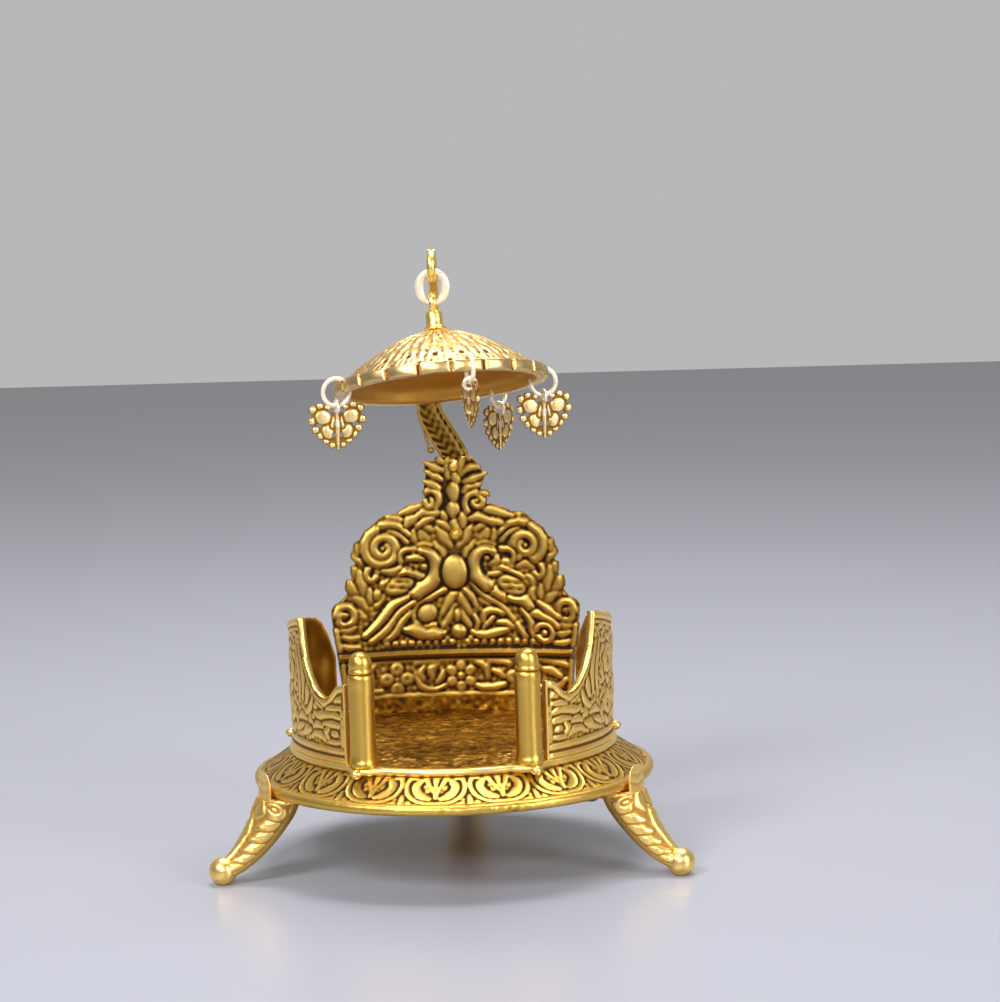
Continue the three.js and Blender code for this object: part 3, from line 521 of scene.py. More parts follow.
def scaled(tree, source, factor, offset, **values):
    """A source times a factor, plus a number or another source."""
    made = node(tree, "ShaderNodeMath", operation="MULTIPLY_ADD", **values)
    tree.links.new(source, made.inputs[0])
    made.inputs[1].default_value = factor
    if isinstance(offset, float):
        made.inputs[2].default_value = offset
    else:
        tree.links.new(offset, made.inputs[2])
    return made.outputs[0]


def gilt(name, tones, rough, bump=0.35, metal_low=0.75, metal_high=1.0):
    """Gilt casting metal: four tones from the polished highs to the oxidised recesses."""
    material, tree, shader = new_material(name)
    link = tree.links.new
    place = node(tree, "ShaderNodeTexCoord").outputs["Object"]
    cloud = node(tree, "ShaderNodeTexNoise", Scale=CLOUD_SCALE, Detail=5.0, Roughness=0.6)
    speck = node(tree, "ShaderNodeTexNoise", Scale=SPECK_SCALE, Detail=3.0, Roughness=0.7)
    for texture in (cloud, speck):
        link(place, texture.inputs["Vector"])
    total = node(tree, "ShaderNodeMath", operation="ADD", use_clamp=True)
    link(node(tree, "ShaderNodeAttribute", attribute_name="patina").outputs["Fac"], total.inputs[0])
    link(scaled(tree, cloud.outputs["Fac"], WEAR, -WEAR / 2), total.inputs[1])
    amount = total.outputs[0]
    link(ramp(tree, amount, list(zip(PATINA_PLACES, tones))), shader.inputs["Base Color"])
    gloss = ramp(tree, amount, list(zip(PATINA_PLACES, rough)))
    link(scaled(tree, speck.outputs["Fac"], SPECK_GLOSS, gloss, use_clamp=True), shader.inputs["Roughness"])
    metal = [(0.1, metal_high), (0.3, 1.0), (0.6, 1.0), (0.95, metal_low)]
    link(ramp(tree, amount, metal), shader.inputs["Metallic"])
    pushed = node(tree, "ShaderNodeBump", Strength=bump, Distance=BUMP_DISTANCE)
    link(scaled(tree, cloud.outputs["Fac"], CLOUD_BUMP, speck.outputs["Fac"]), pushed.inputs["Height"])
    link(pushed.outputs["Normal"], shader.inputs["Normal"])
    return material


AMBER = (0.42, 0.21, 0.025)
SOOT = (0.045, 0.02, 0.006)
antique = gilt("antique_gilt", ((0.74, 0.475, 0.10), (0.62, 0.365, 0.058), (0.36, 0.18, 0.022),
                                (0.05, 0.022, 0.006)), (0.3, 0.35, 0.42, 0.6))
back_gilt = gilt("back_gilt", ((0.60, 0.395, 0.10), (0.44, 0.265, 0.044), (0.20, 0.095, 0.011),
                               (0.018, 0.008, 0.003)), (0.38, 0.42, 0.46, 0.6))
wing_gilt = gilt("wing_gilt", ((1.0, 0.69, 0.21), (1.0, 0.65, 0.16), (0.62, 0.34, 0.055),
                               (0.15, 0.068, 0.014)), (0.26, 0.32, 0.4, 0.5))
leg_gilt = gilt("leg_gilt", ((1.0, 0.70, 0.22), (1.0, 0.64, 0.17), (0.88, 0.50, 0.10),
                             (0.42, 0.21, 0.04)), (0.26, 0.32, 0.4, 0.5), metal_low=0.6)
bright = gilt("bright_gilt", ((1.0, 0.76, 0.24), (0.93, 0.64, 0.15), AMBER, SOOT), (0.26, 0.32, 0.42, 0.6))
post_gilt = gilt("post_gilt", ((0.75, 0.475, 0.095), (0.62, 0.36, 0.06), AMBER, SOOT),
                 (0.27, 0.33, 0.42, 0.6))
pale = gilt("pale_gilt", ((0.76, 0.53, 0.23), (0.70, 0.45, 0.165), (0.46, 0.25, 0.065),
                          (0.09, 0.04, 0.010)), (0.28, 0.34, 0.42, 0.6))
under_gilt = gilt("under_gilt", ((0.76, 0.46, 0.10), (0.66, 0.36, 0.07), (0.5, 0.25, 0.035), SOOT),
                  (0.4, 0.45, 0.5, 0.65))
floor_gilt = gilt("seat_gilt", ((0.86, 0.55, 0.12), (0.36, 0.175, 0.014), (0.18, 0.07, 0.005), SOOT),
                  (0.32, 0.42, 0.5, 0.65), bump=0.8)
# The rings' gilt: its highs are near white and half diffuse, a painted highlight that makes the wire look
# white.
painted_highlight_gold = gilt("painted_highlight_gilt", ((1.0, 0.88, 0.66), (1.0, 0.76, 0.34), (0.66, 0.40, 0.11),
                                 (0.24, 0.13, 0.03)), (0.24, 0.28, 0.36, 0.5), bump=0.1, metal_high=0.5)
# The leaves' gilt: its near-white highs are a painted highlight on the big lobes.
leaf_painted_highlight_gilt = gilt("leaf_painted_highlight_gilt", ((1.0, 0.93, 0.78), (1.0, 0.66, 0.20), (0.66, 0.36, 0.06),
                               (0.24, 0.12, 0.022)), (0.24, 0.3, 0.38, 0.5), bump=0.1, metal_high=0.7)


def plated_steel(name, colour, rough):
    """Plain plated steel with a slight cloud in its tone and gloss."""
    material, tree, shader = new_material(name)
    shader.inputs["Metallic"].default_value = 1.0
    noise = node(tree, "ShaderNodeTexNoise", Scale=400.0, Detail=4.0)
    tree.links.new(node(tree, "ShaderNodeTexCoord").outputs["Object"], noise.inputs["Vector"])
    cloud = noise.outputs["Fac"]
    dull = tuple(c * 0.72 for c in colour)
    tree.links.new(ramp(tree, cloud, [(0.3, dull), (0.7, colour)]), shader.inputs["Base Color"])
    gloss = [(0.3, rough * 0.8), (0.7, rough * 1.2)]
    tree.links.new(ramp(tree, cloud, gloss), shader.inputs["Roughness"])
    return material


steel = plated_steel("zinc_steel", (0.55, 0.54, 0.52), 0.38)


# Base

RIM_BAND, RIM_ROUND, RIM_BULGE = 2.6, 1.0, 0.25
RIM_TOP = BASE_UNDER + RIM_BAND
RIM_ARC = (-100, 95)  # degrees round the rim's section
RIM_DEPTH_SHARE = 0.95
KNOCK_BEARING, KNOCK_REACH = 12, 14  # where the rim is most knocked, and how far each way
DECK_RADIUS = SEAT_RADIUS + 0.1
DECK_THICKNESS = 2.4
DECK_UNDER = DECK_TOP - DECK_THICKNESS
SKIRT_WALL = 2.2
UNIT_COUNT, UNIT_STEPS = 18, 60  # heart scrolls round the border, and steps across each
UNIT_BEARING = -3.0  # where one of them is centred
BORDER_STEPS = UNIT_COUNT * UNIT_STEPS
BORDER_HEIGHT, BORDER_SINK = 1.15, 0.45
BORDER_FADE_SHARE = 0.05  # of the slope, at each edge of the border
BOSS_RADIUS, BOSS_REACH = 4.0, 45.2
LEG_BEARINGS = {"left": -63.5, "right": 63.5, "rear": 180.0}
# Half of a heart scroll: half widths, height, vein spacing, then points as shares of its size.
BORDER_SHARES = [
    ((0.8, 0.12), 0.8, 0, [(0.97, -0.02), (0.97, 0.3)]),
    ((0.3, 0.48, 0.55, 0.42), 1.05, 0, [(0.6, 0.93), (0.78, 0.99), (0.9, 0.86), (0.9, 0.6), (0.76, 0.32),
                                        (0.45, 0.12), (0.06, 0.05)]),
    ((0.75, 1.15, 1.2, 0.5), 1.0, 1.1, [(0.5, 0.86), (0.62, 0.7), (0.56, 0.48), (0.36, 0.3), (0.16, 0.22)]),
    ((0.34, 0.36, 0.6), 0.95, 0, [(0.02, 0.24), (0.06, 0.5), (0.24, 0.8), (0.34, 0.97)]),
]


def border_unit(width, height):
    """One heart scroll of the border, as a relief that repeats across its width."""
    step = width / UNIT_STEPS
    field = Relief((-width / 2, width / 2 - step), (-0.4, height + 0.4), step, 0.28, 1.22, 0.36)
    for shift in (-width, 0, width):
        for across in (-width / 2, width / 2):
            for half, rise, veins, shares in BORDER_SHARES:
                points = [(shift + a * across, b * height) for a, b in shares]
                field.stroke(points, half, rise, veins=veins, vein=0.1)
            field.pit((shift + 0.52 * across, 0.84 * height), 0.5, 0.8)
        field.stroke([(shift, 0.56 * height), (shift, 0.9 * height)], (0.2, 0.75), 0.9)
    field.infill(1.6, 0.6, 0.3)
    return field


def border_band():
    """The border from rim to deck. Its relief is laid outwards and down, so it lies sunk in the slope."""
    low = np.array([BASE_RADIUS - 2 * RIM_ROUND, RIM_TOP + RIM_ROUND / 2])
    slope = (DECK_RADIUS, DECK_TOP) - low
    length = float(np.hypot(*slope))
    unit = border_unit(math.pi * (low[0] + DECK_RADIUS) / UNIT_COUNT, length)
    whole = tiled(unit, UNIT_COUNT, BORDER_HEIGHT, 0.02)
    rows = slice(*np.searchsorted(unit.v, (0, length + unit.step / 2)))
    share = unit.v[rows] / length
    fade = np.clip(np.minimum(share, 1 - share) / BORDER_FADE_SHARE, 0, 1)
    rise = (whole.H[:, rows] - BORDER_SINK) * fade / length
    radius, height = (low[k] + share * slope[k] + rise * slope[1 - k] for k in (0, 1))
    return radius, height, whole.patina[:, rows]


def rim_band(bearing):
    """The plain round rim, with small knocks."""
    around = np.radians(np.linspace(*RIM_ARC, 16))
    half = RIM_BAND / 2 + RIM_BULGE
    shape = (len(bearing), len(around))
    knocks = 0.05 * grain(shape, 2, True) + 0.07 * grain(shape, 1, True)
    knocks *= 0.35 + 0.65 * (np.abs(bearing[:, None] - KNOCK_BEARING) < KNOCK_REACH)
    radius = BASE_RADIUS + RIM_DEPTH_SHARE * half * (np.cos(around) - 1) + knocks
    height = np.broadcast_to(BASE_UNDER + half * (1 + np.sin(around)), shape)
    return radius, height, 0.1 + 2.2 * np.abs(np.minimum(knocks, 0))


def add_base():
    bearing = UNIT_BEARING - 180 / UNIT_COUNT + np.arange(BORDER_STEPS) * 360 / BORDER_STEPS
    border = border_band()
    inner, wall = DECK_RADIUS + DECK_THICKNESS - SKIRT_WALL, BASE_RADIUS - SKIRT_WALL
    below = [(0, DECK_UNDER), (inner * 0.6, DECK_UNDER), (inner, DECK_UNDER), (wall - 1, RIM_TOP),
             (wall, BASE_UNDER + 0.3)]
    above = [(DECK_RADIUS - 1, DECK_TOP), (0, DECK_TOP)]
    R, Z, tone = banded([all_round(below, BORDER_STEPS, 0.62), rim_band(bearing), border,
                         all_round(above, BORDER_STEPS, 0.5)])
    shape = Shape().grid(polar(bearing[:, None], R, Z), wrap_u=True, patina=tone)
    boss = [(0, BASE_UNDER + 0.3), (BOSS_RADIUS - 0.4, BASE_UNDER + 0.3), (BOSS_RADIUS, BASE_UNDER + 0.7),
            (BOSS_RADIUS + 0.3, DECK_UNDER + 0.4), (0, DECK_UNDER + 0.4)]
    for place in LEG_BEARINGS.values():
        shape.grid(turned(boss, 40, polar(place, BOSS_REACH, 0.0)), wrap_u=True, patina=0.6)
    shape.piece("base_casting", antique, "throne", ("base_plate",))


# Seat plate

LUG_RADIUS = 4.3
EDGE_HALF = (PLATE_TOP - DECK_TOP) / 2
EDGE_SWELL, EDGE_MARGIN = 1.12, 2.2
FLOOR_RADIUS, FLOOR_SINK, FLOOR_STEP = 40.0, 0.4, 0.8
SEAT_STEPS, SEAT_GRAINS = 720, 480
post_low, post_high = box("post_right")
POST_X = (post_low[0] + post_high[0]) / 2
POST_Y = (post_low[1] + post_high[1]) / 2 - AXIS_Y
POST_BEARING = math.degrees(math.atan2(POST_X, -POST_Y))
POST_REACH = math.hypot(POST_X, POST_Y)
NUB = 1.7


def seat_edge(bearing):
    """How far the plate reaches at each bearing, with a round lug under each front post."""
    edge = np.full(len(bearing), SEAT_RADIUS)
    for side in (-1, 1):
        off = np.radians(bearing - side * POST_BEARING)
        inner = LUG_RADIUS**2 - (POST_REACH * np.sin(off)) ** 2
        lug = np.where(inner > 0, POST_REACH * np.cos(off) + np.sqrt(np.maximum(inner, 0)), 0)
        edge = np.maximum(edge, lug)
    return blur(edge[:, None], 4, True)


def seat_floor(bearing):
    """The top of the plate: a smooth margin, a step down and a granular floor, coarsest at the front."""
    margin = np.linspace(1, 0, 7)[1:] * (SEAT_RADIUS - EDGE_MARGIN - FLOOR_RADIUS) + FLOOR_RADIUS
    reach = np.concatenate([margin, FLOOR_RADIUS - np.array([0.3, 0.7]),
                            np.linspace(FLOOR_RADIUS - 1.3, 6, 88), [3, 0]])
    a = np.radians(bearing)[:, None]
    last = SEAT_GRAINS - 1
    cells = tuple(np.clip(((reach * f(a)) / SEAT_RADIUS * 0.5 + 0.5) * last, 0, last).astype(int)
                  for f in (np.sin, np.cos))
    fine, coarse, lumps = (grain((SEAT_GRAINS, SEAT_GRAINS), size)[cells] for size in (1, 4, 2))
    front = np.clip((58 - np.abs(bearing)) / 12, 0, 1)[:, None] * np.clip((reach - 24) / 10, 0, 1)
    rough = 0.05 * fine + 0.06 * coarse + np.maximum(lumps - 0.3, 0) * (0.04 + 0.2 * front)
    sunk = np.clip((FLOOR_RADIUS - reach) / FLOOR_STEP, 0, 1)
    calm = np.clip(reach / 6, 0, 1)
    height = PLATE_TOP - sunk * FLOOR_SINK + rough * calm * (0.3 + 0.7 * sunk)
    tone = np.clip(0.56 - 1.9 * rough, 0.05, 0.9)
    return np.broadcast_to(reach, rough.shape), np.minimum(height, PLATE_TOP - 0.02), tone


def add_seat():
    bearing = np.linspace(-180, 180, SEAT_STEPS, endpoint=False)
    turn = np.radians(np.linspace(-90, 90, 13))
    edge = seat_edge(bearing) + EDGE_HALF * (EDGE_SWELL * np.cos(turn) - 1)
    edge = edge + 0.05 * grain(edge.shape, 5, True)
    height = DECK_TOP + EDGE_HALF + EDGE_HALF * np.sin(turn) * (1 + 0.06 * np.cos(turn))
    rounding = edge, np.broadcast_to(height, edge.shape), np.full(edge.shape, 0.05)
    R, Z, tone = banded([all_round([(0, DECK_TOP)], SEAT_STEPS, 0.5), rounding, seat_floor(bearing)])
    shape = Shape().grid(polar(bearing[:, None], R, Z), wrap_u=True, patina=tone)
    thing = shape.piece("seat_casting", bright, "throne", ("seat_plate",), "gilt_seat")
    repaint(thing, floor_gilt, lambda at, way: np.hypot(at[:, 0], at[:, 1] - AXIS_Y) < SEAT_RADIUS - 2.0)
    nubs = Shape()
    for side in (-1, 1):
        centre = polar(side * POST_BEARING, POST_REACH + LUG_RADIUS - 0.3, DECK_TOP + EDGE_HALF - 0.4)
        nubs.grid(ball(centre, (NUB, NUB, NUB * 0.85), 24, 13), wrap_u=True, patina=0.02)
    nubs.piece("lug_nubs", bright, "throne", (), "gilt_polished")


# Posts, whose outlines are shares of their radius and height

POST_SHARES = [(1.06, 0), (1.1, 0.015), (1.1, 0.045), (1.05, 0.07), (1.01, 0.1), (0.98, 0.3), (0.965, 0.5),
               (0.97, 0.72), (0.99, 0.86), (1.02, 0.9), (1.03, 0.93), (1.02, 0.96), (0.97, 0.985), (0.9, 1.0)]
CAP_SHARES = [(0.86, 0.0), (0.98, 0.03), (1.05, 0.1), (1.02, 0.18), (0.98, 0.24), (1.0, 0.42), (0.95, 0.6),
              (0.82, 0.78), (0.6, 0.91), (0.3, 0.985)]
POST_WIDEST_SHARE, CAP_WIDEST_SHARE = 1.1, 1.04


def post_form(shares, radius, tall, steps, foot):
    """A turned form that is closed at its foot and its top."""
    path = smooth_path([(r * radius, z * tall) for r, z in shares], 5)
    return turned(np.vstack([[0, 0], path, [0, tall]]), steps, foot)


def add_posts():
    for name in ("left", "right"):
        low, high = box("post_" + name)
        foot = np.array([(low[0] + high[0]) / 2, (low[1] + high[1]) / 2, low[2]])
        radius = (high[0] - low[0]) / 2 / POST_WIDEST_SHARE
        post = post_form(POST_SHARES, radius, high[2] - low[2], 64, foot)
        rough = 0.05 * grain(post.shape[:2], 3, True)
        post[..., 0] += rough
        tone = np.clip(0.16 - 0.8 * rough, 0.02, 0.6)
        tone[:, -5:] = 0.7
        Shape().grid(post, wrap_u=True, patina=tone).piece(
            "gilt_post_" + name, post_gilt, "throne", ("post_" + name,), "gilt_polished")
        low, high = box("post_cap_" + name)
        foot[2] = post_high[2]
        radius = (high[0] - low[0]) / 2 / CAP_WIDEST_SHARE
        cap = post_form(CAP_SHARES, radius, high[2] - post_high[2], 56, foot)
        Shape().grid(cap, wrap_u=True, patina=0.06).piece(
            "gilt_cap_" + name, post_gilt, "throne", ("post_cap_" + name,), "gilt_polished")


# Side wings

WING_OUTER = DECK_RADIUS - 0.8
WING_WALL, WING_SINK, WING_GROUND = 2.0, 0.6, 0.2
WING_LIFT, WING_HIGHEST = 0.72, 1.6  # how far the field lifts the face, and where it is cut off
WING_STEP = 0.27
WING_START, WING_END = 37.0, 127.0  # bearings
WING_TOP = box("wing_right")[1][2]
WING_TOP_SHARES = [
    (0, 0.575), (0.04, 0.56), (0.07, 0.5), (0.115, 0.445), (0.17, 0.495), (0.225, 0.6), (0.26, 0.72),
    (0.278, 0.86), (0.292, 1), (0.34, 0.985), (0.4, 0.962), (0.49, 0.92), (0.59, 0.88), (0.69, 0.87),
    (0.78, 0.865), (0.86, 0.84), (0.91, 0.79), (0.955, 0.68), (1, 0.5),
]
ARC = math.radians(WING_OUTER)  # millimetres round the wing's outside for each degree
EAR_BEARING, EAR_REACH, EAR_HEIGHT, EAR_RISE = 90.0, 2.2, 2.8, 0.8
WING_PEGS = (50.0, 104.0)
PEG_RADIUS, PEG_HEAD_RADIUS, PEG_HEAD_HEIGHT = 0.85, 1.7, 0.9


def add_peg_head(shape, x, y):
    """The hammered-over end of a cast peg, under the deck."""
    top = DECK_UNDER - 0.15
    low = top - PEG_HEAD_HEIGHT
    profile = [(0, low), (0.7, low + 0.02), (1.3, low + 0.2), (PEG_HEAD_RADIUS, low + 0.5),
               (PEG_HEAD_RADIUS - 0.1, top), (PEG_RADIUS, top), (PEG_RADIUS, DECK_UNDER + 1),
               (0, DECK_UNDER + 1)]
    shape.grid(turned(profile, 24, (x, y, 0)), wrap_u=True, patina=0.4)


WING_LEAF_HEIGHTS = (42.4, 74, 2.9)  # the first row of small leaves, a limit and the spacing
WING_LEAF_START, WING_LEAF_SPACING, WING_LEAF_COUNT = 67.5, 5.6, 11  # bearings and how many
WING_LINE_DROP, WING_LINE_FROM = 2.9, 8  # a line under the top edge, and the point where it starts
WING_EDGE_DROP = 1.0
# Strokes of a wing: half widths, height, then points by bearing and height above the table.
WING_STROKES = [
    ((0.62, 0.62), 1.1, [(38.3, 40.4), (38.3, 49.8)]),
    ((0.8, 0.8), 1.0, [(37.4, 38.5), (60, 38.7), (90, 38.5), (127, 38.6)]),
    ((0.5, 1.1, 1.2, 1.0, 0.5), 1.2, [(39.6, 48.4), (43, 49.0), (47.6, 48.8), (51, 48.0), (53.6, 48.6)]),
    ((0.4, 0.8, 0.8, 0.5), 1.1, [(39.4, 51.0), (44, 50.9), (49.4, 51.3), (53.8, 53.2)]),
    ((0.5, 1.2, 0.8), 1.2, [(39.4, 53.4), (41.6, 53.9), (43.6, 53.0)]),
    ((0.6, 0.8, 0.5), 1.2, [(38.8, 56.6), (41.4, 57.0), (44.0, 55.4)]),
    ((0.7, 1.1, 0.4), 1.1, [(40.0, 46.0), (43.6, 46.2), (48.4, 46.0)]),
    ((0.4, 0.9, 0.5), 1.2, [(45.8, 42.0), (46.9, 43.6), (45.4, 44.7)]),
    ((0.4, 0.7, 0.4), 1.0, [(39.8, 41.2), (42.4, 41.0), (45.2, 41.0)]),
    ((0.4, 1.2, 0.9, 0.4), 1.1, [(47.4, 41.4), (50.2, 42.6), (53.2, 42.6), (56.0, 41.4)]),
    ((0.5, 1.1, 0.5), 1.1, [(48.8, 45.0), (51.6, 45.4), (54.4, 44.6)]),
    ((0.5, 1.0, 0.5), 1.1, [(55.4, 45.6), (57.0, 47.0), (56.2, 49.0)]),
    ((0.5, 1.3, 0.5), 1.1, [(56.4, 43.4), (59.2, 43.0), (62.0, 41.6)]),
    ((0.4, 0.9, 0.9, 0.4), 1.2, [(54.6, 53.2), (56.4, 50.0), (59.4, 48.2), (62.8, 49.6)]),
    ((0.6, 1.1, 0.7), 1.3, [(58.2, 56.6), (58.4, 53.8), (59.0, 51.2)]),
    ((0.4, 0.9, 0.9, 0.5), 1.2, [(62.2, 51.6), (61.4, 56.0), (62.4, 61.0), (65.0, 66.0)]),
    ((0.4, 1.0, 1.0, 0.5), 1.1, [(65.6, 50.6), (64.6, 56.0), (65.8, 61.6), (68.4, 66.6)]),
    ((0.5, 1.2, 0.5), 1.1, [(59.4, 46.2), (62.6, 46.9), (66.0, 45.8)]),
    ((0.4, 1.0, 0.5), 1.0, [(62.6, 43.9), (65.4, 43.4), (68.2, 42.0)]),
    ((0.5, 1.0, 0.6), 1.2, [(66.4, 69.4), (70.6, 70.6), (75.4, 70.2)]),
]
# Volutes further back: bearing, height, radius and the bearing that they wind in from.
WING_VOLUTES = [
    (74.5, 47.0, 4.0, 200), (76.0, 59.5, 4.6, 20), (88.0, 50.5, 4.2, 150), (93.5, 62.0, 4.2, 330),
    (102.5, 48.5, 4.2, 210), (107.0, 59.5, 3.8, 40), (116.0, 48.0, 3.9, 160),
]
# The broad rib that climbs the wing, and its half widths.
WING_RIB = [(45.6, 54.2), (50, 55.0), (54.2, 58.2), (58.4, 63.2), (61.6, 69.6), (63.2, 75.0)]
WING_RIB_HALVES = (0.8, 1.3, 1.7, 1.8, 1.6, 0.8)


def by_bearing(points):
    """Points by bearing and height, laid flat."""
    return [(bearing * ARC, z) for bearing, z in points]


def add_wing_leaves(field):
    """Rows of small leaves over the rear of a wing, behind its volutes."""
    for row, z in enumerate(np.arange(*WING_LEAF_HEIGHTS)):
        for k in range(WING_LEAF_COUNT):
            start = WING_LEAF_START + WING_LEAF_SPACING * k + WING_LEAF_SPACING / 2 * (row % 2)
            tilt = 1.3 * math.sin(1.7 * k + 2.3 * row)
            points = by_bearing([(start, z - tilt), (start + 2.6, z + 0.5), (start + 5.2, z + tilt)])
            field.stroke(points, (0.4, 1.25, 0.4), 0.95, groove=0.25)


def add_wing_volute(field, place, radius, start):
    """A volute with its bead, on bare ground, and four leaves round it."""
    turns = -1.6 if start > 180 else 1.6
    field.dome(place, (radius + 0.9, radius + 0.9), 0.0, base=field.ground, groove=0.1)
    field.spiral(place, radius, 0.9, start, turns, 0.85, 1.3)
    field.dome(place, (0.8, 0.8), 1.3, groove=0.2)
    for k in range(4):
        a = math.radians(start + 60 + 62 * k * np.sign(turns))
        leaf = [(place[0] + r * math.cos(a + b), place[1] + r * math.sin(a + b))
                for r, b in ((radius + 0.4, -0.3), (radius + 1.5, 0.0), (radius + 2.4, 0.4))]
        field.stroke(leaf, (0.5, 1.1, 0.3), 1.1, groove=0.25)


def wing_relief():
    """Scrolls and leaves near the post, and leafy volutes further back."""
    near, far = WING_START * ARC, WING_END * ARC
    field = Relief((near - 0.6, far + 0.6), (PLATE_TOP - 0.6, WING_TOP + 0.6), WING_STEP, 0.26, 1.35, 0.3,
                   WING_GROUND)
    top = [((WING_START + s * (WING_END - WING_START)) * ARC, PLATE_TOP + h * (WING_TOP - PLATE_TOP))
           for s, h in WING_TOP_SHARES]
    field.fill([(top[0][0], PLATE_TOP), *top, (top[-1][0], PLATE_TOP)])
    field.solid = False
    add_wing_leaves(field)
    for bearing, z, radius, start in WING_VOLUTES:
        add_wing_volute(field, (bearing * ARC, z), radius, start)
    for half, height, points in WING_STROKES:
        field.stroke(by_bearing(points), half, height, ridges=3 if 1.05 < max(half) < 1.25 else 0, vein=0.2)
    field.dome((42.5 * ARC, 43.5), (1.9, 1.15), 1.3, 12)
    field.dome((54.6 * ARC, 47.4), (0.8, 0.8), 1.3, groove=0.2)
    field.wide = 1.0
    line = [(u, z - WING_LINE_DROP) for u, z in top[WING_LINE_FROM:]]
    field.stroke(line, 0.55, 1.0, curve=False, groove=0.3)
    field.stroke([(u, z - WING_EDGE_DROP) for u, z in top], 1.1, 1.4, curve=False, groove=0.35)
    field.stroke(by_bearing(WING_RIB), WING_RIB_HALVES, 1.5, groove=0.35)
    field.stroke([(near, PLATE_TOP + 0.8), (far, PLATE_TOP + 0.8)], 0.95, 1.3, groove=0.35)
    field.stroke([(near + 0.1, PLATE_TOP), (near + 0.1, 58)], 0.45, 1.2, groove=0.3)
    field.infill(1.9, 0.7, 0.24)
    field.settle(0.03)
    return field


def inner_face(at, way):
    """The faces of a wing that look at the seat."""
    out = at[:, :2] - (0, AXIS_Y)
    reach = np.linalg.norm(out, axis=1)
    inward = np.einsum("ij,ij->i", out, way[:, :2]) / reach < -0.6
    return inward & (reach < WING_OUTER - WING_WALL + 0.4)


def add_wings():
    # The left wing's inner face takes the darker seat gilt and the right wing's the bright gilt: painted
    # shade on the left face, painted light on the right one, which faces the key lamp.
    for name, side, inner in (("left", -1, floor_gilt), ("right", 1, bright)):
        field = wing_relief()

        def outside(U, V, H):
            radius = WING_OUTER - WING_SINK + WING_LIFT * np.minimum(H, WING_HIGHEST)
            return polar(side * U / ARC, radius, V)

        def inside(U, V):
            return polar(side * U / ARC, WING_OUTER - WING_WALL, V)
        inner_tone = 0.5 + 0.12 * grain(field.H.shape, 6) - 0.42 * np.clip(1.3 - field.cover, 0, 1)
        shape = Shape().sheet(field, outside, inside, inner_tone)
        for bearing in WING_PEGS:
            add_peg_head(shape, *polar(side * bearing, WING_OUTER - WING_WALL / 2, 0)[:2])
        ear = polar(side * EAR_BEARING, WING_OUTER, PLATE_TOP + EAR_RISE + EAR_HEIGHT / 2)
        radii = (EAR_REACH, EAR_HEIGHT / 2, EAR_HEIGHT / 2)
        shape.grid(ball(ear, radii, 28, 15), wrap_u=True, patina=0.08)
        thing = shape.piece("wing_casting_" + name, wing_gilt, "throne", ("wing_" + name,))
        repaint(thing, inner, inner_face)


# Crested back

BACK_CURVE, BACK_WALL, BACK_SINK, BACK_LIFT = 110.0, 2.3, 0.55, 0.85
BACK_STEP = 0.315
STRIP_TOP = 39.8  # the plain strip at the foot of the back's front
BACK_PEG_X = 19.15
RAIL_HEIGHT, RAIL_RADIUS = 53.1, 1.15
# The right edge of the back and then its left edge, from the seat plate up: places across and heights.
BACK_RIGHT = [
    (34.8, 35.2), (36, 50), (37, 60), (38.2, 64.6), (36, 69.5), (33.5, 72.5), (32.5, 76), (31, 80),
    (30.8, 84.5), (28, 87.5), (24.5, 91), (22, 93.5), (18, 96), (12, 97.2), (9.5, 99), (8, 102), (8.6, 104),
    (10.2, 108.2), (8.5, 110.5), (6.5, 113.6),
]
BACK_LEFT = [
    (-34.8, 35.2), (-36.6, 50), (-37.6, 60), (-38.2, 65), (-36.8, 69.5), (-33.5, 72.5), (-33, 75.5),
    (-31, 79), (-30.5, 84), (-27.5, 89), (-24, 93.5), (-19, 96.5), (-14, 97.6), (-10, 99.5), (-8.5, 102),
    (-8.9, 105), (-8.3, 108), (-8.7, 112.4), (-4.5, 112.6), (0, 114),
]
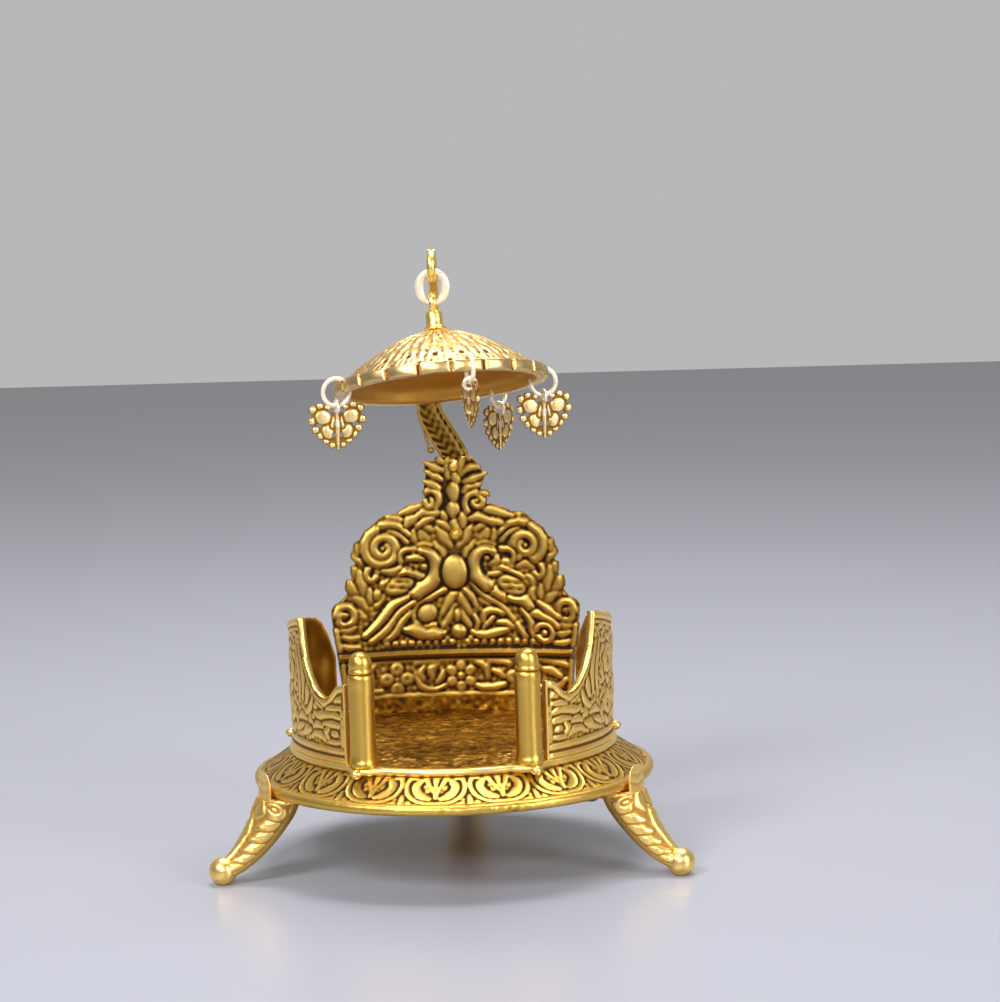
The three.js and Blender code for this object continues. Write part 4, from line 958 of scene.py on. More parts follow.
# Strokes of the back: half widths, height, then points across and above the table. The rows in the first
# table stand on both sides, and the others only where they are given.
BACK_PAIRS = [
    ((0.5, 1.5, 0.6), 1.0, [(3.2, 82.6), (4.6, 84.8), (6.6, 87.6)]),
    ((0.5, 1.6, 0.5), 1.1, [(1.2, 86.4), (2.9, 89.2), (5.4, 92.2)]),
    ((0.9, 1.2, 0.5), 1.0, [(0.3, 72.2), (2.2, 69.2), (4.6, 65.4)]),
    ((0.8, 0.9, 0.6), 0.9, [(0.3, 67.4), (2.0, 64.6), (4.2, 61.6)]),
    ((0.4, 0.9, 0.4), 0.9, [(6.6, 91.4), (8.8, 92.6), (10.4, 91.6)]),
    ((1.1, 1.4, 0.6), 0.9, [(8.6, 88.4), (10.0, 89.8), (10.6, 91.4)]),
    ((0.4, 0.8, 0.4), 0.9, [(11.6, 87.4), (12.8, 89.6), (12.6, 91.8)]),
    ((0.4, 1.0, 0.5), 0.9, [(6.9, 86.8), (9.6, 87.0), (12.6, 86.6)]),
    ((0.5, 0.9, 0.4), 0.9, [(7.6, 69.6), (11.4, 68.0), (14.6, 66.4)]),
    ((0.4, 1.0, 0.4), 1.0, [(30.2, 87.0), (30.6, 84.4), (29.2, 82.0)]),
    ((0.4, 1.1, 0.5), 1.0, [(27.2, 88.8), (29.4, 87.4), (30.2, 85.0)]),
    ((0.5, 1.1, 0.5), 1.0, [(31.4, 80.8), (30.4, 78.6), (28.4, 77.6)]),
    ((0.6, 1.4, 0.6), 1.1, [(28.3, 71.6), (29.2, 75.4), (29.9, 79.6)]),
    ((0.5, 1.2, 0.5), 1.0, [(32.9, 76.6), (32.2, 74.4), (30.6, 72.6)]),
    ((0.6, 0.6), 1.2, [(24.0, 79.4), (25.2, 81.0), (27.2, 80.2), (27.6, 77.8), (26.0, 76.6), (24.8, 77.8)]),
    ((0.5, 1.4, 0.6), 1.1, [(24.6, 74.6), (24.0, 71.6), (24.8, 68.8)]),
    ((0.5, 1.1, 0.5), 1.0, [(27.0, 74.0), (26.8, 71.4), (28.0, 69.0)]),
    ((0.5, 1.2, 0.5), 1.0, [(31.6, 71.8), (29.6, 70.4), (28.0, 68.0)]),
    ((0.5, 1.2, 0.5), 1.0, [(31.8, 68.6), (30.4, 66.6), (28.6, 65.2)]),
    ((0.9, 0.75, 0.5), 1.3, [(37.4, 66.6), (36.2, 68.8), (33.6, 69.0), (31.9, 66.8), (32.4, 64.2),
                             (34.8, 63.2),
                             (36.6, 64.6), (35.8, 66.6), (34.2, 66.4)]),
    ((0.4, 0.9, 0.5), 1.0, [(31.6, 62.6), (33.6, 61.6), (36.2, 61.8)]),
    ((0.5, 0.85, 0.5), 1.0, [(30.6, 59.4), (33.2, 59.0), (35.6, 59.8)]),
    ((0.5, 0.85, 0.5), 1.0, [(30.6, 56.2), (33.4, 56.2), (35.8, 57.0)]),
    ((0.45, 0.45), 1.1, [(36.4, 55.4), (37.0, 58.6), (37.5, 62.0)]),
    ((0.4, 1.1, 1.0, 0.5), 1.0, [(17.6, 96.2), (21.0, 94.9), (24.4, 92.0), (26.6, 89.6)]),
]
BACK_STROKES = [
    # The right peacock
    ((2.4, 2.9, 1.6), 0.9, [(11.6, 75.6), (15.0, 75.8), (21.6, 75.2)]),
    ((0.4, 0.8, 0.5), 1.3, [(12.0, 79.3), (15.6, 79.6), (21.6, 76.6)]),
    ((0.4, 0.8, 0.4), 1.2, [(10.4, 77.4), (13.6, 77.6), (17.4, 75.4)]),
    ((0.4, 0.9, 0.5), 1.1, [(13.4, 81.2), (16.4, 81.4), (20.6, 79.4), (23.6, 79.0)]),
    ((0.5, 1.1, 0.6), 1.1, [(19.6, 79.8), (22.2, 80.8), (24.4, 79.6)]),
    ((0.4, 0.8, 0.4), 1.0, [(22.4, 77.2), (24.2, 76.0), (24.4, 74.4)]),
    ((1.5, 2.4, 2.2, 0.8), 1.7, [(8.8, 74.8), (12.6, 72.6), (17.4, 71.8), (21.6, 73.2)]),
    ((0.7, 1.0, 1.3, 1.5, 1.7), 2.0, [(13.0, 83.2), (11.4, 85.1), (8.6, 84.9), (6.4, 82.8), (5.9, 79.6),
                                      (7.0, 76.4), (9.6, 74.2)]),
    ((0.5, 0.9, 0.4), 1.4, [(13.2, 83.2), (13.0, 81.4), (11.2, 80.6)]),
    ((0.6, 0.6, 0.5), 1.3, [(14.6, 85.4), (17.4, 85.2), (18.6, 83.8), (18.3, 81.4)]),
    ((1.2, 1.4, 1.0, 0.6), 1.6, [(17.8, 70.4), (21.4, 69.4), (23.6, 66.6), (24.6, 64.0)]),
    ((0.5, 0.8, 0.6), 1.2, [(9.2, 71.0), (15.2, 66.6), (19.2, 61.6), (22.0, 57.6)]),
    ((0.4, 0.7, 0.5), 1.1, [(4.9, 75.0), (8.2, 71.4), (14.2, 67.8), (18.2, 63.2)]),
    ((0.5, 1.1, 1.3, 0.6), 1.4, [(22.4, 64.4), (25.4, 65.2), (28.8, 63.8), (32.0, 61.2)]),
    ((0.5, 0.9, 0.6), 1.3, [(20.6, 66.6), (23.4, 62.8), (24.0, 59.4), (25.4, 57.0)]),
    ((0.5, 1.0, 0.6), 1.2, [(25.8, 68.8), (28.6, 66.8), (32.4, 64.2)]),
    ((0.6, 0.6), 1.4, [(25.0, 60.2), (26.2, 61.6), (28.8, 61.6), (30.2, 59.6), (29.6, 57.4), (27.4, 56.8),
                       (25.8, 58.0)]),
    # The left peacock
    ((1.2, 2.2, 2.4, 1.2), 1.7, [(-22.0, 74.9), (-17.6, 74.4), (-13.6, 73.4), (-9.8, 74.6)]),
    ((0.3, 1.2, 0.8), 1.9, [(-19.6, 76.8), (-15.6, 78.8), (-12.8, 77.8)]),
    ((0.4, 0.9, 0.5), 1.3, [(-12.8, 78.8), (-11.0, 77.2), (-8.6, 77.2)]),
    ((0.6, 1.0, 1.4, 1.6, 1.9), 2.0, [(-12.8, 84.2), (-10.2, 85.1), (-7.6, 84.2), (-5.9, 81.4),
                                      (-6.2, 77.6),
                                      (-8.6, 74.4), (-12.4, 72.4)]),
    ((0.4, 0.9, 0.4), 1.3, [(-14.6, 83.0), (-11.6, 83.2), (-9.6, 82.6)]),
    ((0.6, 0.6, 0.5), 1.3, [(-12.4, 85.9), (-15.6, 85.7), (-17.1, 84.6), (-17.0, 81.2)]),
    ((0.5, 1.0, 0.5), 1.2, [(-22.8, 79.6), (-19.8, 79.2), (-17.0, 80.4)]),
    ((0.6, 1.2, 1.1, 0.7), 1.7, [(-15.2, 70.9), (-19.4, 68.6), (-24.0, 63.6), (-28.6, 59.6)]),
    ((0.6, 1.2, 1.2, 0.8), 1.5, [(-13.0, 69.6), (-17.2, 66.4), (-21.4, 61.6), (-26.8, 57.8)]),
    ((0.5, 0.9, 0.9, 0.6), 1.3, [(-13.8, 66.8), (-17.0, 63.6), (-19.4, 60.0), (-22.6, 57.4)]),
    # Leaf work between the peacocks, below the boss
    ((0.6, 0.8, 0.6), 1.2, [(-13.4, 63.6), (-12.4, 67.2), (-9.6, 69.6), (-6.0, 71.8), (-3.4, 73.0)]),
    ((0.7, 1.9, 1.7, 0.6), 1.7, [(-16.0, 60.9), (-11.4, 60.4), (-7.0, 59.0), (-4.2, 59.5)]),
    ((0.3, 0.8, 0.4), 1.3, [(-13.2, 63.4), (-9.6, 62.4), (-6.8, 62.2)]),
    ((0.6, 1.1, 1.0, 0.5), 1.4, [(5.0, 59.6), (8.6, 58.7), (13.2, 59.6), (17.2, 60.8)]),
    ((0.7, 0.8, 0.5), 1.3, [(8.0, 62.4), (9.3, 65.7), (12.0, 66.3), (14.8, 65.2)]),
    ((0.4, 0.6, 0.4), 1.2, [(8.4, 60.9), (10.2, 62.6), (11.6, 64.2)]),
    ((0.4, 0.8, 0.4), 1.2, [(13.0, 62.4), (15.8, 62.4), (18.0, 60.9)]),
    ((0.4, 0.8, 0.4), 1.1, [(2.4, 73.2), (4.8, 70.8), (6.4, 67.6)]),
    ((0.4, 0.7, 0.4), 1.1, [(5.6, 64.8), (6.8, 62.4), (6.2, 60.6)]),
    # The stem of leaves that climbs the neck
    ((1.2, 1.7, 0.8), 1.2, [(0.8, 89.4), (0.6, 92.4), (1.2, 96.4)]),
    ((0.6, 1.3, 0.5), 1.2, [(2.9, 92.6), (3.0, 94.8), (2.2, 97.0)]),
    ((0.4, 0.8, 0.4), 1.1, [(-2.2, 94.0), (-2.9, 95.6), (-3.4, 97.0)]),
    ((0.4, 0.9, 0.4), 1.0, [(-1.2, 91.6), (-3.0, 93.2), (-5.0, 94.0)]),
    ((0.6, 1.5, 0.8), 1.3, [(-0.3, 95.8), (0, 97.8), (0, 99.6)]),
    ((0.9, 1.4, 0.6), 1.3, [(0.3, 101.4), (0.2, 103.6), (0.6, 106.4)]),
    ((0.5, 1.6, 0.8), 1.1, [(1.8, 106.4), (0.6, 109.0), (0.2, 112.2)]),
    ((0.4, 1.2, 0.5), 1.0, [(-1.2, 107.4), (-1.8, 110.4), (-1.4, 113.4)]),
    ((0.5, 1.2, 0.6), 1.0, [(3.0, 108.4), (2.6, 111.0), (3.4, 113.6)]),
    ((0.5, 1.3, 1.6, 0.7), 1.4, [(5.2, 94.8), (8.6, 95.6), (12.4, 94.7), (15.0, 93.3)]),
    ((0.5, 1.2, 1.0, 0.4), 1.1, [(8.4, 97.9), (11.6, 97.4), (15.6, 96.3), (19.0, 95.4)]),
    ((0.8, 1.9, 1.6, 0.6), 1.2, [(-5.4, 96.9), (-9.4, 96.9), (-13.0, 95.4), (-15.0, 93.2)]),
    ((0.4, 0.9, 0.5), 1.3, [(-6.4, 95.2), (-9.0, 94.6), (-11.6, 92.8)]),
    ((0.4, 1.0, 0.5), 1.0, [(-9.8, 99.5), (-13.0, 98.2), (-16.6, 97.0)]),
    ((0.6, 0.8, 0.7, 0.4), 1.4, [(4.4, 97.0), (3.7, 99.6), (4.9, 102.2), (7.6, 102.8), (9.3, 101.0),
                                 (8.9, 99.0),
                                 (7.2, 98.6), (6.2, 99.8), (7.0, 101.0)]),
    ((0.4, 0.7, 0.2), 1.1, [(8.6, 102.9), (10.0, 102.6), (11.2, 101.8)]),
    ((0.5, 0.9, 0.5), 1.2, [(3.4, 103.2), (5.2, 105.0), (8.4, 105.2)]),
    ((0.4, 1.0, 0.3), 1.2, [(3.6, 106.3), (6.6, 107.2), (10.6, 108.7)]),
    ((0.4, 0.9, 0.4), 1.2, [(3.6, 109.2), (5.8, 110.6), (8.4, 110.6)]),
    ((0.6, 0.8, 0.6), 1.4, [(-5.8, 98.4), (-4.5, 100.4), (-5.0, 103.0), (-7.0, 104.2), (-8.6, 103.2)]),
    ((0.5, 0.7, 0.5), 1.2, [(-8.8, 100.8), (-8.0, 98.8), (-6.6, 99.2), (-6.6, 101.0)]),
    ((0.4, 1.0, 0.4), 1.2, [(-4.2, 104.4), (-6.4, 105.8), (-8.9, 106.6)]),
    ((0.4, 1.0, 0.3), 1.2, [(-3.4, 107.0), (-5.8, 108.6), (-8.5, 109.8)]),
    ((0.5, 1.0, 0.2), 1.2, [(-3.0, 109.9), (-5.6, 111.0), (-8.9, 112.8)]),
    ((0.4, 0.9, 0.4), 1.1, [(-2.6, 112.2), (-4.0, 113.2), (-4.4, 114.0)]),
    # Flowers and scrolls of the band under the rail
    ((0.4, 1.2, 0.5), 1.2, [(-6.2, 50.2), (-8.4, 48.2), (-8.0, 45.4)]),
    ((0.5, 0.7, 0.6, 0.4), 1.2, [(-13.2, 47.4), (-11.8, 43.2), (-8.0, 41.8), (-3.8, 43.2)]),
    ((0.4, 0.8, 0.5), 1.1, [(-13.6, 50.2), (-10.4, 51.0), (-7.2, 50.6)]),
    ((0.4, 0.8, 0.4), 1.1, [(-10.6, 49.2), (-11.8, 47.0), (-10.8, 45.0)]),
    ((0.4, 0.8, 0.4), 1.1, [(-4.6, 47.6), (-5.4, 45.4), (-6.8, 44.0)]),
    ((0.6, 1.1, 0.5), 1.3, [(5.4, 50.8), (8.7, 49.0), (9.5, 45.4)]),
    ((0.5, 0.9, 0.5), 1.2, [(9.4, 50.6), (13.0, 50.8), (16.6, 49.6)]),
    ((0.5, 1.2, 0.6), 1.4, [(5.6, 43.0), (9.2, 42.0), (14.6, 43.2)]),
    ((0.4, 0.8, 0.4), 1.1, [(10.8, 47.6), (13.0, 46.8), (14.8, 45.2)]),
    ((0.4, 0.8, 0.4), 1.1, [(-25.8, 50.6), (-27.6, 48.2), (-27.0, 45.2)]),
    ((0.4, 1.0, 0.4), 1.1, [(-30.6, 50.4), (-33.0, 48.0), (-33.6, 44.2)]),
    ((0.5, 0.7, 0.5), 1.2, [(-24.2, 42.0), (-28.4, 42.4), (-31.4, 45.6), (-30.2, 47.4), (-28.6, 46.6)]),
    ((0.5, 0.9, 0.5), 1.2, [(26.8, 50.8), (30.8, 50.6), (35.2, 49.2)]),
    ((0.6, 1.1, 0.5), 1.2, [(27.0, 48.0), (29.6, 47.6), (32.4, 45.8)]),
    ((0.5, 0.7, 0.5), 1.2, [(24.4, 42.2), (28.0, 42.6), (31.6, 42.8), (34.2, 45.2)]),
]
LOBE = 1.5  # how much fuller the lobes are than their tables say
BACK_VOLUTE = (22.4, 86.4)
BIRD_BODIES = ((-1, -17.6, 74.6, 15), (1, 17.6, 74.0, -24))  # side, place and turn
# Bosses of the back: place, radii, height and turn.
BACK_BOSSES = [
    ((-9.2, 65.8), (3.6, 3.2), 1.3, 35), ((-24.6, 72.2), (1.2, 2.2), 1.2, -10),
    ((-9.6, 80.2), (0.9, 0.9), 1.4, 0), ((10.0, 82.6), (1.1, 0.9), 1.4, 0),
    ((7.5, 100.4), (0.8, 0.8), 1.5, 0), ((27.7, 59.2), (1.2, 1.1), 1.5, 0),
    ((-35.0, 65.6), (0.6, 0.6), 1.2, 0), ((35.0, 65.6), (0.6, 0.6), 1.2, 0),
    ((0.3, 64.9), (1.1, 2.4), 1.2, 0), ((0.7, 59.9), (2.5, 2.4), 1.7, 0),
]
BOSS, BOSS_RADII = (-0.2, 78.3), (4.3, 5.3)
BEAD_HEIGHT, BEAD_SPACING = 56.6, 2.55
# Flowers of the band under the rail: place, petals, reach, a petal's radii and the radius of its bead.
BACK_FLOWERS = [((-19.2, 45.5), 4, 3.1, (2.4, 2.1), 0.8), ((0.9, 46.0), 6, 3.3, (1.9, 1.55), 1.5),
                ((20.4, 45.6), 4, 3.1, (2.4, 2.1), 0.8)]


def add_back_volute(field, side):
    """A volute under three sweeping bars, on one side of the back."""
    x, z = side * BACK_VOLUTE[0], BACK_VOLUTE[1]
    sweep = [(side * 14.2, 90.4), (side * 17.0, 93.0), (side * 20.6, 93.9), (side * 24.2, 92.8)]
    field.stroke([(a, b + 2.1) for a, b in sweep[:3]], (0.4, 0.8, 0.5), 1.2)
    field.stroke([(a + side * 0.6, b - 2.4) for a, b in sweep], (0.4, 0.75, 0.6), 1.2)
    field.stroke(sweep, (0.5, 0.9, 0.9), 1.5)
    field.spiral((x, z), 6.3, 1.2, 90 - 18 * side, -1.75 * side, 0.95, 1.5)
    field.dome((x, z), (0.9, 0.9), 1.2)


def add_back_bosses(field):
    """The birds' bodies, the boss between them, small bosses and a row of beads."""
    for side, x, z, turn in BIRD_BODIES:
        field.dome((x, z), (4.9, 2.9), 1.15, turn, full=0.25)
        for lift in (-0.8, 1.0):
            feather = [(x - side * 2.6, z + lift), (x + side * 2.8, z + lift - side * 0.5)]
            field.stroke(feather, 0.2, 1.05, groove=0.2)
    for place, radii, height, turn in BACK_BOSSES:
        field.dome(place, radii, height, turn)
    field.dome(BOSS, BOSS_RADII, 1.8, full=0.3, groove=0.6)
    for x in np.arange(-22, 25, BEAD_SPACING):
        if abs(x - 0.7) > 2.2:
            field.dome((x, BEAD_HEIGHT), (1.05, 1.0), 1.3)
    for x in (-3.2, 4.4):
        field.dome((x, BEAD_HEIGHT + 1.2), (0.9, 0.8), 1.2)


def back_relief():
    """Facing peacocks round a boss, volutes, leaf work and a flower band, on the front of the back."""
    field = Relief((-38.3, 38.3), (PLATE_TOP - 0.3, BACK_TOP), BACK_STEP, 0.28, 1.0, 0.3)
    field.fill(BACK_RIGHT + BACK_LEFT[::-1])
    field.stroke([(0, 88), (0, 113)], (5, 3), 0.25, solid=False)
    field.wide = LOBE
    for half, height, points in BACK_PAIRS:
        for side in (1, -1):
            ridges = 3 if max(half) > 1.05 else 0
            field.stroke([(side * x, z) for x, z in points], half, height, ridges=ridges, vein=0.28)
    for side in (-1, 1):
        add_back_volute(field, side)
    for half, height, points in BACK_STROKES:
        ridged = 1.05 < max(half) < 1.35 and height < 1.6
        field.stroke(points, half, height, ridges=3 if ridged else 0, vein=0.22)
    field.wide = 1.0
    add_back_bosses(field)
    for place, petals, reach, petal, eye in BACK_FLOWERS:
        field.flower(place, petals, reach, petal, 1.3, eye)
    for z, half in ((51.2, 0.35), (40.4, 0.55)):
        field.stroke([(-35, z), (35, z)], half, 1.0, solid=False)
    for side in (-1, 1):
        field.stroke([(side * 35.0, 40), (side * 35.9, 52)], 0.5, 1.2)
    field.stroke([(-36.4, RAIL_HEIGHT), (36.4, RAIL_HEIGHT)], RAIL_RADIUS, 1.7, solid=False)
    field.infill(1.8, 0.7, 0.26)
    strip = field.V < STRIP_TOP
    field.H[strip] = 0.75 + 0.12 * grain(field.H.shape, 1)[strip]
    field.settle(0.03)
    field.patina[strip] = np.clip(0.56 + 0.12 * grain(field.H.shape, 1)[strip], 0.3, 0.85)
    field.patina[np.abs(field.V - RAIL_HEIGHT) < 1.0] = 0.6
    return field


def on_back(radius, across, height):
    """Places on the back's curve, at a radius about its upright axis behind the seat's front."""
    angle = np.arcsin(across / BACK_CURVE)
    return joined(radius * np.sin(angle), AXIS_Y + BACK_Y - BACK_CURVE + radius * np.cos(angle), height)


def add_back():
    field = back_relief()

    def front(U, V, H):
        return on_back(BACK_CURVE - BACK_WALL + BACK_SINK - BACK_LIFT * H, U, V)

    def rear(U, V):
        return on_back(BACK_CURVE - 0.05 - 0.05 * np.abs(grain(U.shape, 4)), U, V)
    shape = Shape().sheet(field, front, rear, 0.42 + 0.12 * grain(field.H.shape, 7))
    for side in (-1, 1):
        add_peg_head(shape, *on_back(BACK_CURVE - BACK_WALL / 2, side * BACK_PEG_X, 0)[:2])
    thing = shape.piece("back_casting", back_gilt, "throne", ("back_panel",))
    repaint(thing, floor_gilt, lambda at, way: (at[:, 2] < STRIP_TOP) & (way[:, 1] < -0.5))


# Crook

CROOK_LEAN, CROOK_REACH, CROOK_RISE = 6.5, 31.2, 89.5
CROOK_WIDTHS, CROOK_DEPTHS = (8.6, 2.6), (2.8, 2.1)
CROOK_EYE = 3.8
CROOK_FOOT_Y = BACK_Y + 0.3 + CROOK_DEPTHS[0] / 2
CROOK_FOOT_Z = box("canopy_arm")[0][2]
# The crook's route as shares of its lean, reach and rise, and how far it has tapered.
CROOK_SHARES = [
    (0.08, 0, 0, 0), (0.08, 0, 0.1, 0), (0.08, 0, 0.2, 0), (0.1, 0, 0.29, 0.02), (-0.5, 0.03, 0.375, 0.05),
    (-0.98, 0.08, 0.45, 0.16), (-0.98, 0.13, 0.58, 0.45), (-0.62, 0.2, 0.71, 0.88), (-0.55, 0.32, 0.83, 0.95),
    (-0.5, 0.52, 0.925, 1), (-0.46, 0.77, 0.982, 1), (-0.42, 1, 1, 1),
]
CROOK_SIDES, CROOK_SQUARE = 72, 0.42
CROOK_BRIGHT_FROM = 150.0  # height above which the crook takes the bright gilt
CREST_RUN = 56.0  # how far up the crook its leaf work reaches
CREST_LEAF = 2.9  # the leaves' spacing
TENDRIL_TOP, TENDRIL_LOW, TENDRIL_RADIUS, TENDRIL_KNOB = 127.5, 119.0, 0.6, 1.15
TENDRIL_STEPS = 14


def add_tendril(shape, path, across, half_width):
    """A small curl that hangs beside the crook's left edge and ends in a knob."""
    heights = np.linspace(TENDRIL_TOP, TENDRIL_LOW, TENDRIL_STEPS)
    at = np.interp(heights, path[:, 2], np.arange(len(path))).astype(int)
    away = np.linspace(0.1, 1.6, TENDRIL_STEPS) ** 1.2
    middle = path[at] - across[at] * (half_width[at] + away - 0.2)[:, None]
    radius = TENDRIL_RADIUS * np.interp(heights, (TENDRIL_LOW, TENDRIL_TOP), (1.0, 0.5))[:, None, None]
    turn = circle(TENDRIL_STEPS)
    shape.tube(middle[:, None] + radius * joined(np.cos(turn), np.sin(turn), 0), 0.2)
    knob = ball(middle[-1], (TENDRIL_KNOB, TENDRIL_KNOB, TENDRIL_KNOB), TENDRIL_STEPS, 11)
    shape.grid(knob, wrap_u=True, patina=0.2)


def crook_carving(x, s, half_width, run):
    """How deep the crook's faces are carved: a channel with a ridge, and leaves across its lower part."""
    inner = np.clip((half_width - 0.7 - np.abs(x)) / 0.3, 0, 1)
    ridge = np.exp(-((x - half_width + 2.0) / 0.45) ** 2)
    leaf = wave((run - np.abs(x) * 1.1) / CREST_LEAF)
    lower = np.clip((CREST_RUN - run) / 10, 0, 1)
    carved = inner * np.clip(0.62 - 0.62 * ridge - 0.42 * leaf * lower, 0, 1)
    on_face = np.clip((np.abs(s) - 0.8) / 0.1, 0, 1)
    return carved * on_face * np.clip((half_width - 1.5) / 0.6, 0, 1)


def add_crook():
    shares = np.array(CROOK_SHARES)
    middle = np.stack([shares[:, 0] * CROOK_LEAN, AXIS_Y + CROOK_FOOT_Y - shares[:, 1] * CROOK_REACH,
                       CROOK_FOOT_Z + shares[:, 2] * CROOK_RISE], -1)
    path = smooth_path(middle, 24)
    taper = np.interp(np.linspace(0, len(shares) - 1, len(path)), np.arange(len(shares)), shares[:, 3])
    way = unit_length(np.gradient(path, axis=0))
    across = unit_length(np.array([[1.0, 0, 0]]) - way * way[:, :1])
    through = np.cross(way, across)
    turn = circle(CROOK_SIDES)
    c, s = power(np.cos(turn), CROOK_SQUARE), power(np.sin(turn), CROOK_SQUARE)
    half_width, half_depth = ((ends[0] + taper * (ends[1] - ends[0])) / 2
                              for ends in (CROOK_WIDTHS, CROOK_DEPTHS))
    x, z = half_width[:, None] * c, half_depth[:, None] * s
    carved = crook_carving(x, s, half_width[:, None], run_along(path)[:, None])
    z = z - np.sign(z) * carved
    x = x + 0.03 * grain(x.shape, 3)
    rings = path[:, None] + x[..., None] * across[:, None] + z[..., None] * through[:, None]
    tone = np.clip(0.2 + 1.05 * carved + 0.05 * grain(x.shape, 2), 0, 0.9)
    shape = Shape().tube(rings, tone)
    eye = wire_loop(CROOK_EYE, CROOK_EYE, CROOK_DEPTHS[1] / 2, 60, 20, CROOK_WIDTHS[1] / 2, side_on=True)
    shape.grid(eye + middle[-1] - (0, 0, CROOK_EYE), wrap_u=True, wrap_v=True, patina=0.15)
    add_tendril(shape, path, across, half_width)
    thing = shape.piece("crook_casting", back_gilt, "throne", ("canopy_arm",), "gilt_polished")
    repaint(thing, bright, lambda at, way: at[:, 2] > CROOK_BRIGHT_FROM)


# Parasol

JOINTS = {row["name"]: row for row in frame["record"]["behaviour"]["joints"]}
PARASOL_EYE = np.array(JOINTS["parasol_tilt"]["pos_m"]) / MM
PARASOL_TILT, PARASOL_LEAN = 12.8, 4.4  # degrees
PARASOL_TURN = np.array(Matrix.Rotation(math.radians(-PARASOL_TILT), 3, "X")
                        @ Matrix.Rotation(math.radians(-PARASOL_LEAN), 3, "Y"))
STEM_LENGTH = 8.4
CANOPY_RADIUS, CANOPY_HEIGHT, CANOPY_WALL = 32.1, 17.2, 1.3
CANOPY_INNER = CANOPY_RADIUS - 4.2  # where the hollow meets the band of blocks
CANOPY_SHARES = [(0.905, 0.205), (0.86, 0.27), (0.75, 0.43), (0.6, 0.61), (0.44, 0.775), (0.28, 0.895),
                 (0.14, 0.965), (0.055, 1.0)]
SECTORS, SECTOR_STEPS = 20, 30
CANOPY_STEPS = SECTORS * SECTOR_STEPS
CANOPY_RELIEF = 0.7
BLOCK_HEIGHT, BLOCK_REACH, BLOCK_ROUND, BLOCK_SWELL = 3.5, 0.95, 0.8, 0.3  # the pillows round the rim


def hung(points, drop=0.0):
    """Points given from the eye of the parasol's stem, along its own axis, in their place."""
    return (np.asarray(points) + (0, 0, -drop)) @ PARASOL_TURN.T + PARASOL_EYE


def canopy_sector(width, length):
    """Two of the parasol's panels side by side: bars and circles over its band, then leaves and lumps."""
    step = width / (2 * SECTOR_STEPS)
    field = Relief((-width / 2, width / 2 - step), (0, length), step, 0.24, 1.12, 0.3)
    half = width / 4
    for shift in (-width, 0, width):
        for k, middle in enumerate((shift - half, shift + half)):
            bars = (-3.1, -1.1, 1.0, 2.9) if k else (-2.3, 0.1, 2.2)
            for n, x in enumerate(bars):
                top = 5.0 + 0.5 * (-1) ** n
                field.stroke([(middle + x, 0.7), (middle + 0.94 * x, top)], (0.78, 0.62), 0.9)
            joint = middle + half
            field.dome((joint, 2.7), (1.5, 1.6), 1.0)
            field.pit((joint, 2.7), 0.95, 1.5)
            field.stroke([(joint, 5.4), (joint + 0.3, 7.6), (joint, 10.4)], (0.5, 1.6, 0.3), 0.9)
            field.stroke([(middle - 1.9, 6.4), (middle - 0.7, 9.2), (middle - 0.2, 12.2)], (0.7, 1.7, 0.4),
                         1.0, ridges=3, vein=0.3)
            field.stroke([(middle + 1.9, 6.6), (middle + 1.2, 8.8), (middle + 0.5, 11.2)], (0.8, 1.6, 0.5),
                         0.9)
            field.pit((middle + 0.3, 6.6), 0.8, 1.1)
            field.stroke([(joint - 0.4, 11.0), (joint + 0.2, 13.6), (joint, 17.6)], (0.6, 2.3, 0.5), 1.0,
                         ridges=3, vein=0.3)
            field.dome((middle + 0.2, 14.6), (1.9, 1.7), 0.9, 20 * k)
            field.pit((middle + 0.9, 17.0), 1.0, 0.9)
            field.stroke([(middle, 16.8), (middle + 0.4, 19.4), (middle, 23.4)], (1.0, 3.0, 0.6), 1.0,
                         ridges=3, vein=0.3)
            field.dome((joint, 20.2), (1.9, 1.9), 0.9)
            field.stroke([(joint, 22.4), (joint, 25.6), (joint, length)], (1.0, 3.4, 4.0), 0.9)
            field.stroke([(middle, 24.6), (middle, length)], (0.8, 3.0), 1.0)
    field.infill(1.7, 0.7, 0.22)
    return field


def canopy_dome():
    """The shell's outer face, from the band of blocks up to its crown."""
    outer = [(r * CANOPY_RADIUS, z * CANOPY_HEIGHT) for r, z in CANOPY_SHARES]
    path = smooth_path([(CANOPY_RADIUS - 1.6, BLOCK_HEIGHT - 0.3), *outer], 12)
    run = run_along(path)
    pair = canopy_sector(4 * math.pi * CANOPY_RADIUS / SECTORS, run[-1])
    whole = tiled(pair, SECTORS // 2, CANOPY_RELIEF, 0.015, SECTOR_STEPS // 2)
    face = np.stack([np.interp(pair.v, run, path[:, k]) for k in (0, 1)], -1)
    way = unit_length(np.gradient(face, axis=0))
    push = (whole.H - 0.5 * CANOPY_RELIEF) * np.clip(pair.v / 0.6, 0, 1)
    return face[:, 0] + push * way[:, 1], face[:, 1] - push * way[:, 0], whole.patina - 0.06


def canopy_hollow():
    """The shell's inner face, from its crown down to the band."""
    path = [(r * CANOPY_RADIUS - CANOPY_WALL / 2, z * CANOPY_HEIGHT - CANOPY_WALL)
            for r, z in CANOPY_SHARES[-2:0:-1] if r * CANOPY_RADIUS < CANOPY_INNER]
    path = smooth_path([(2, CANOPY_HEIGHT - CANOPY_WALL), *path, (CANOPY_INNER, CANOPY_WALL * 0.7)], 6)
    radius, height, tone = all_round(path, CANOPY_STEPS, 0.5)
    return radius, height + 0.03 * grain(height.shape, 4, True), tone


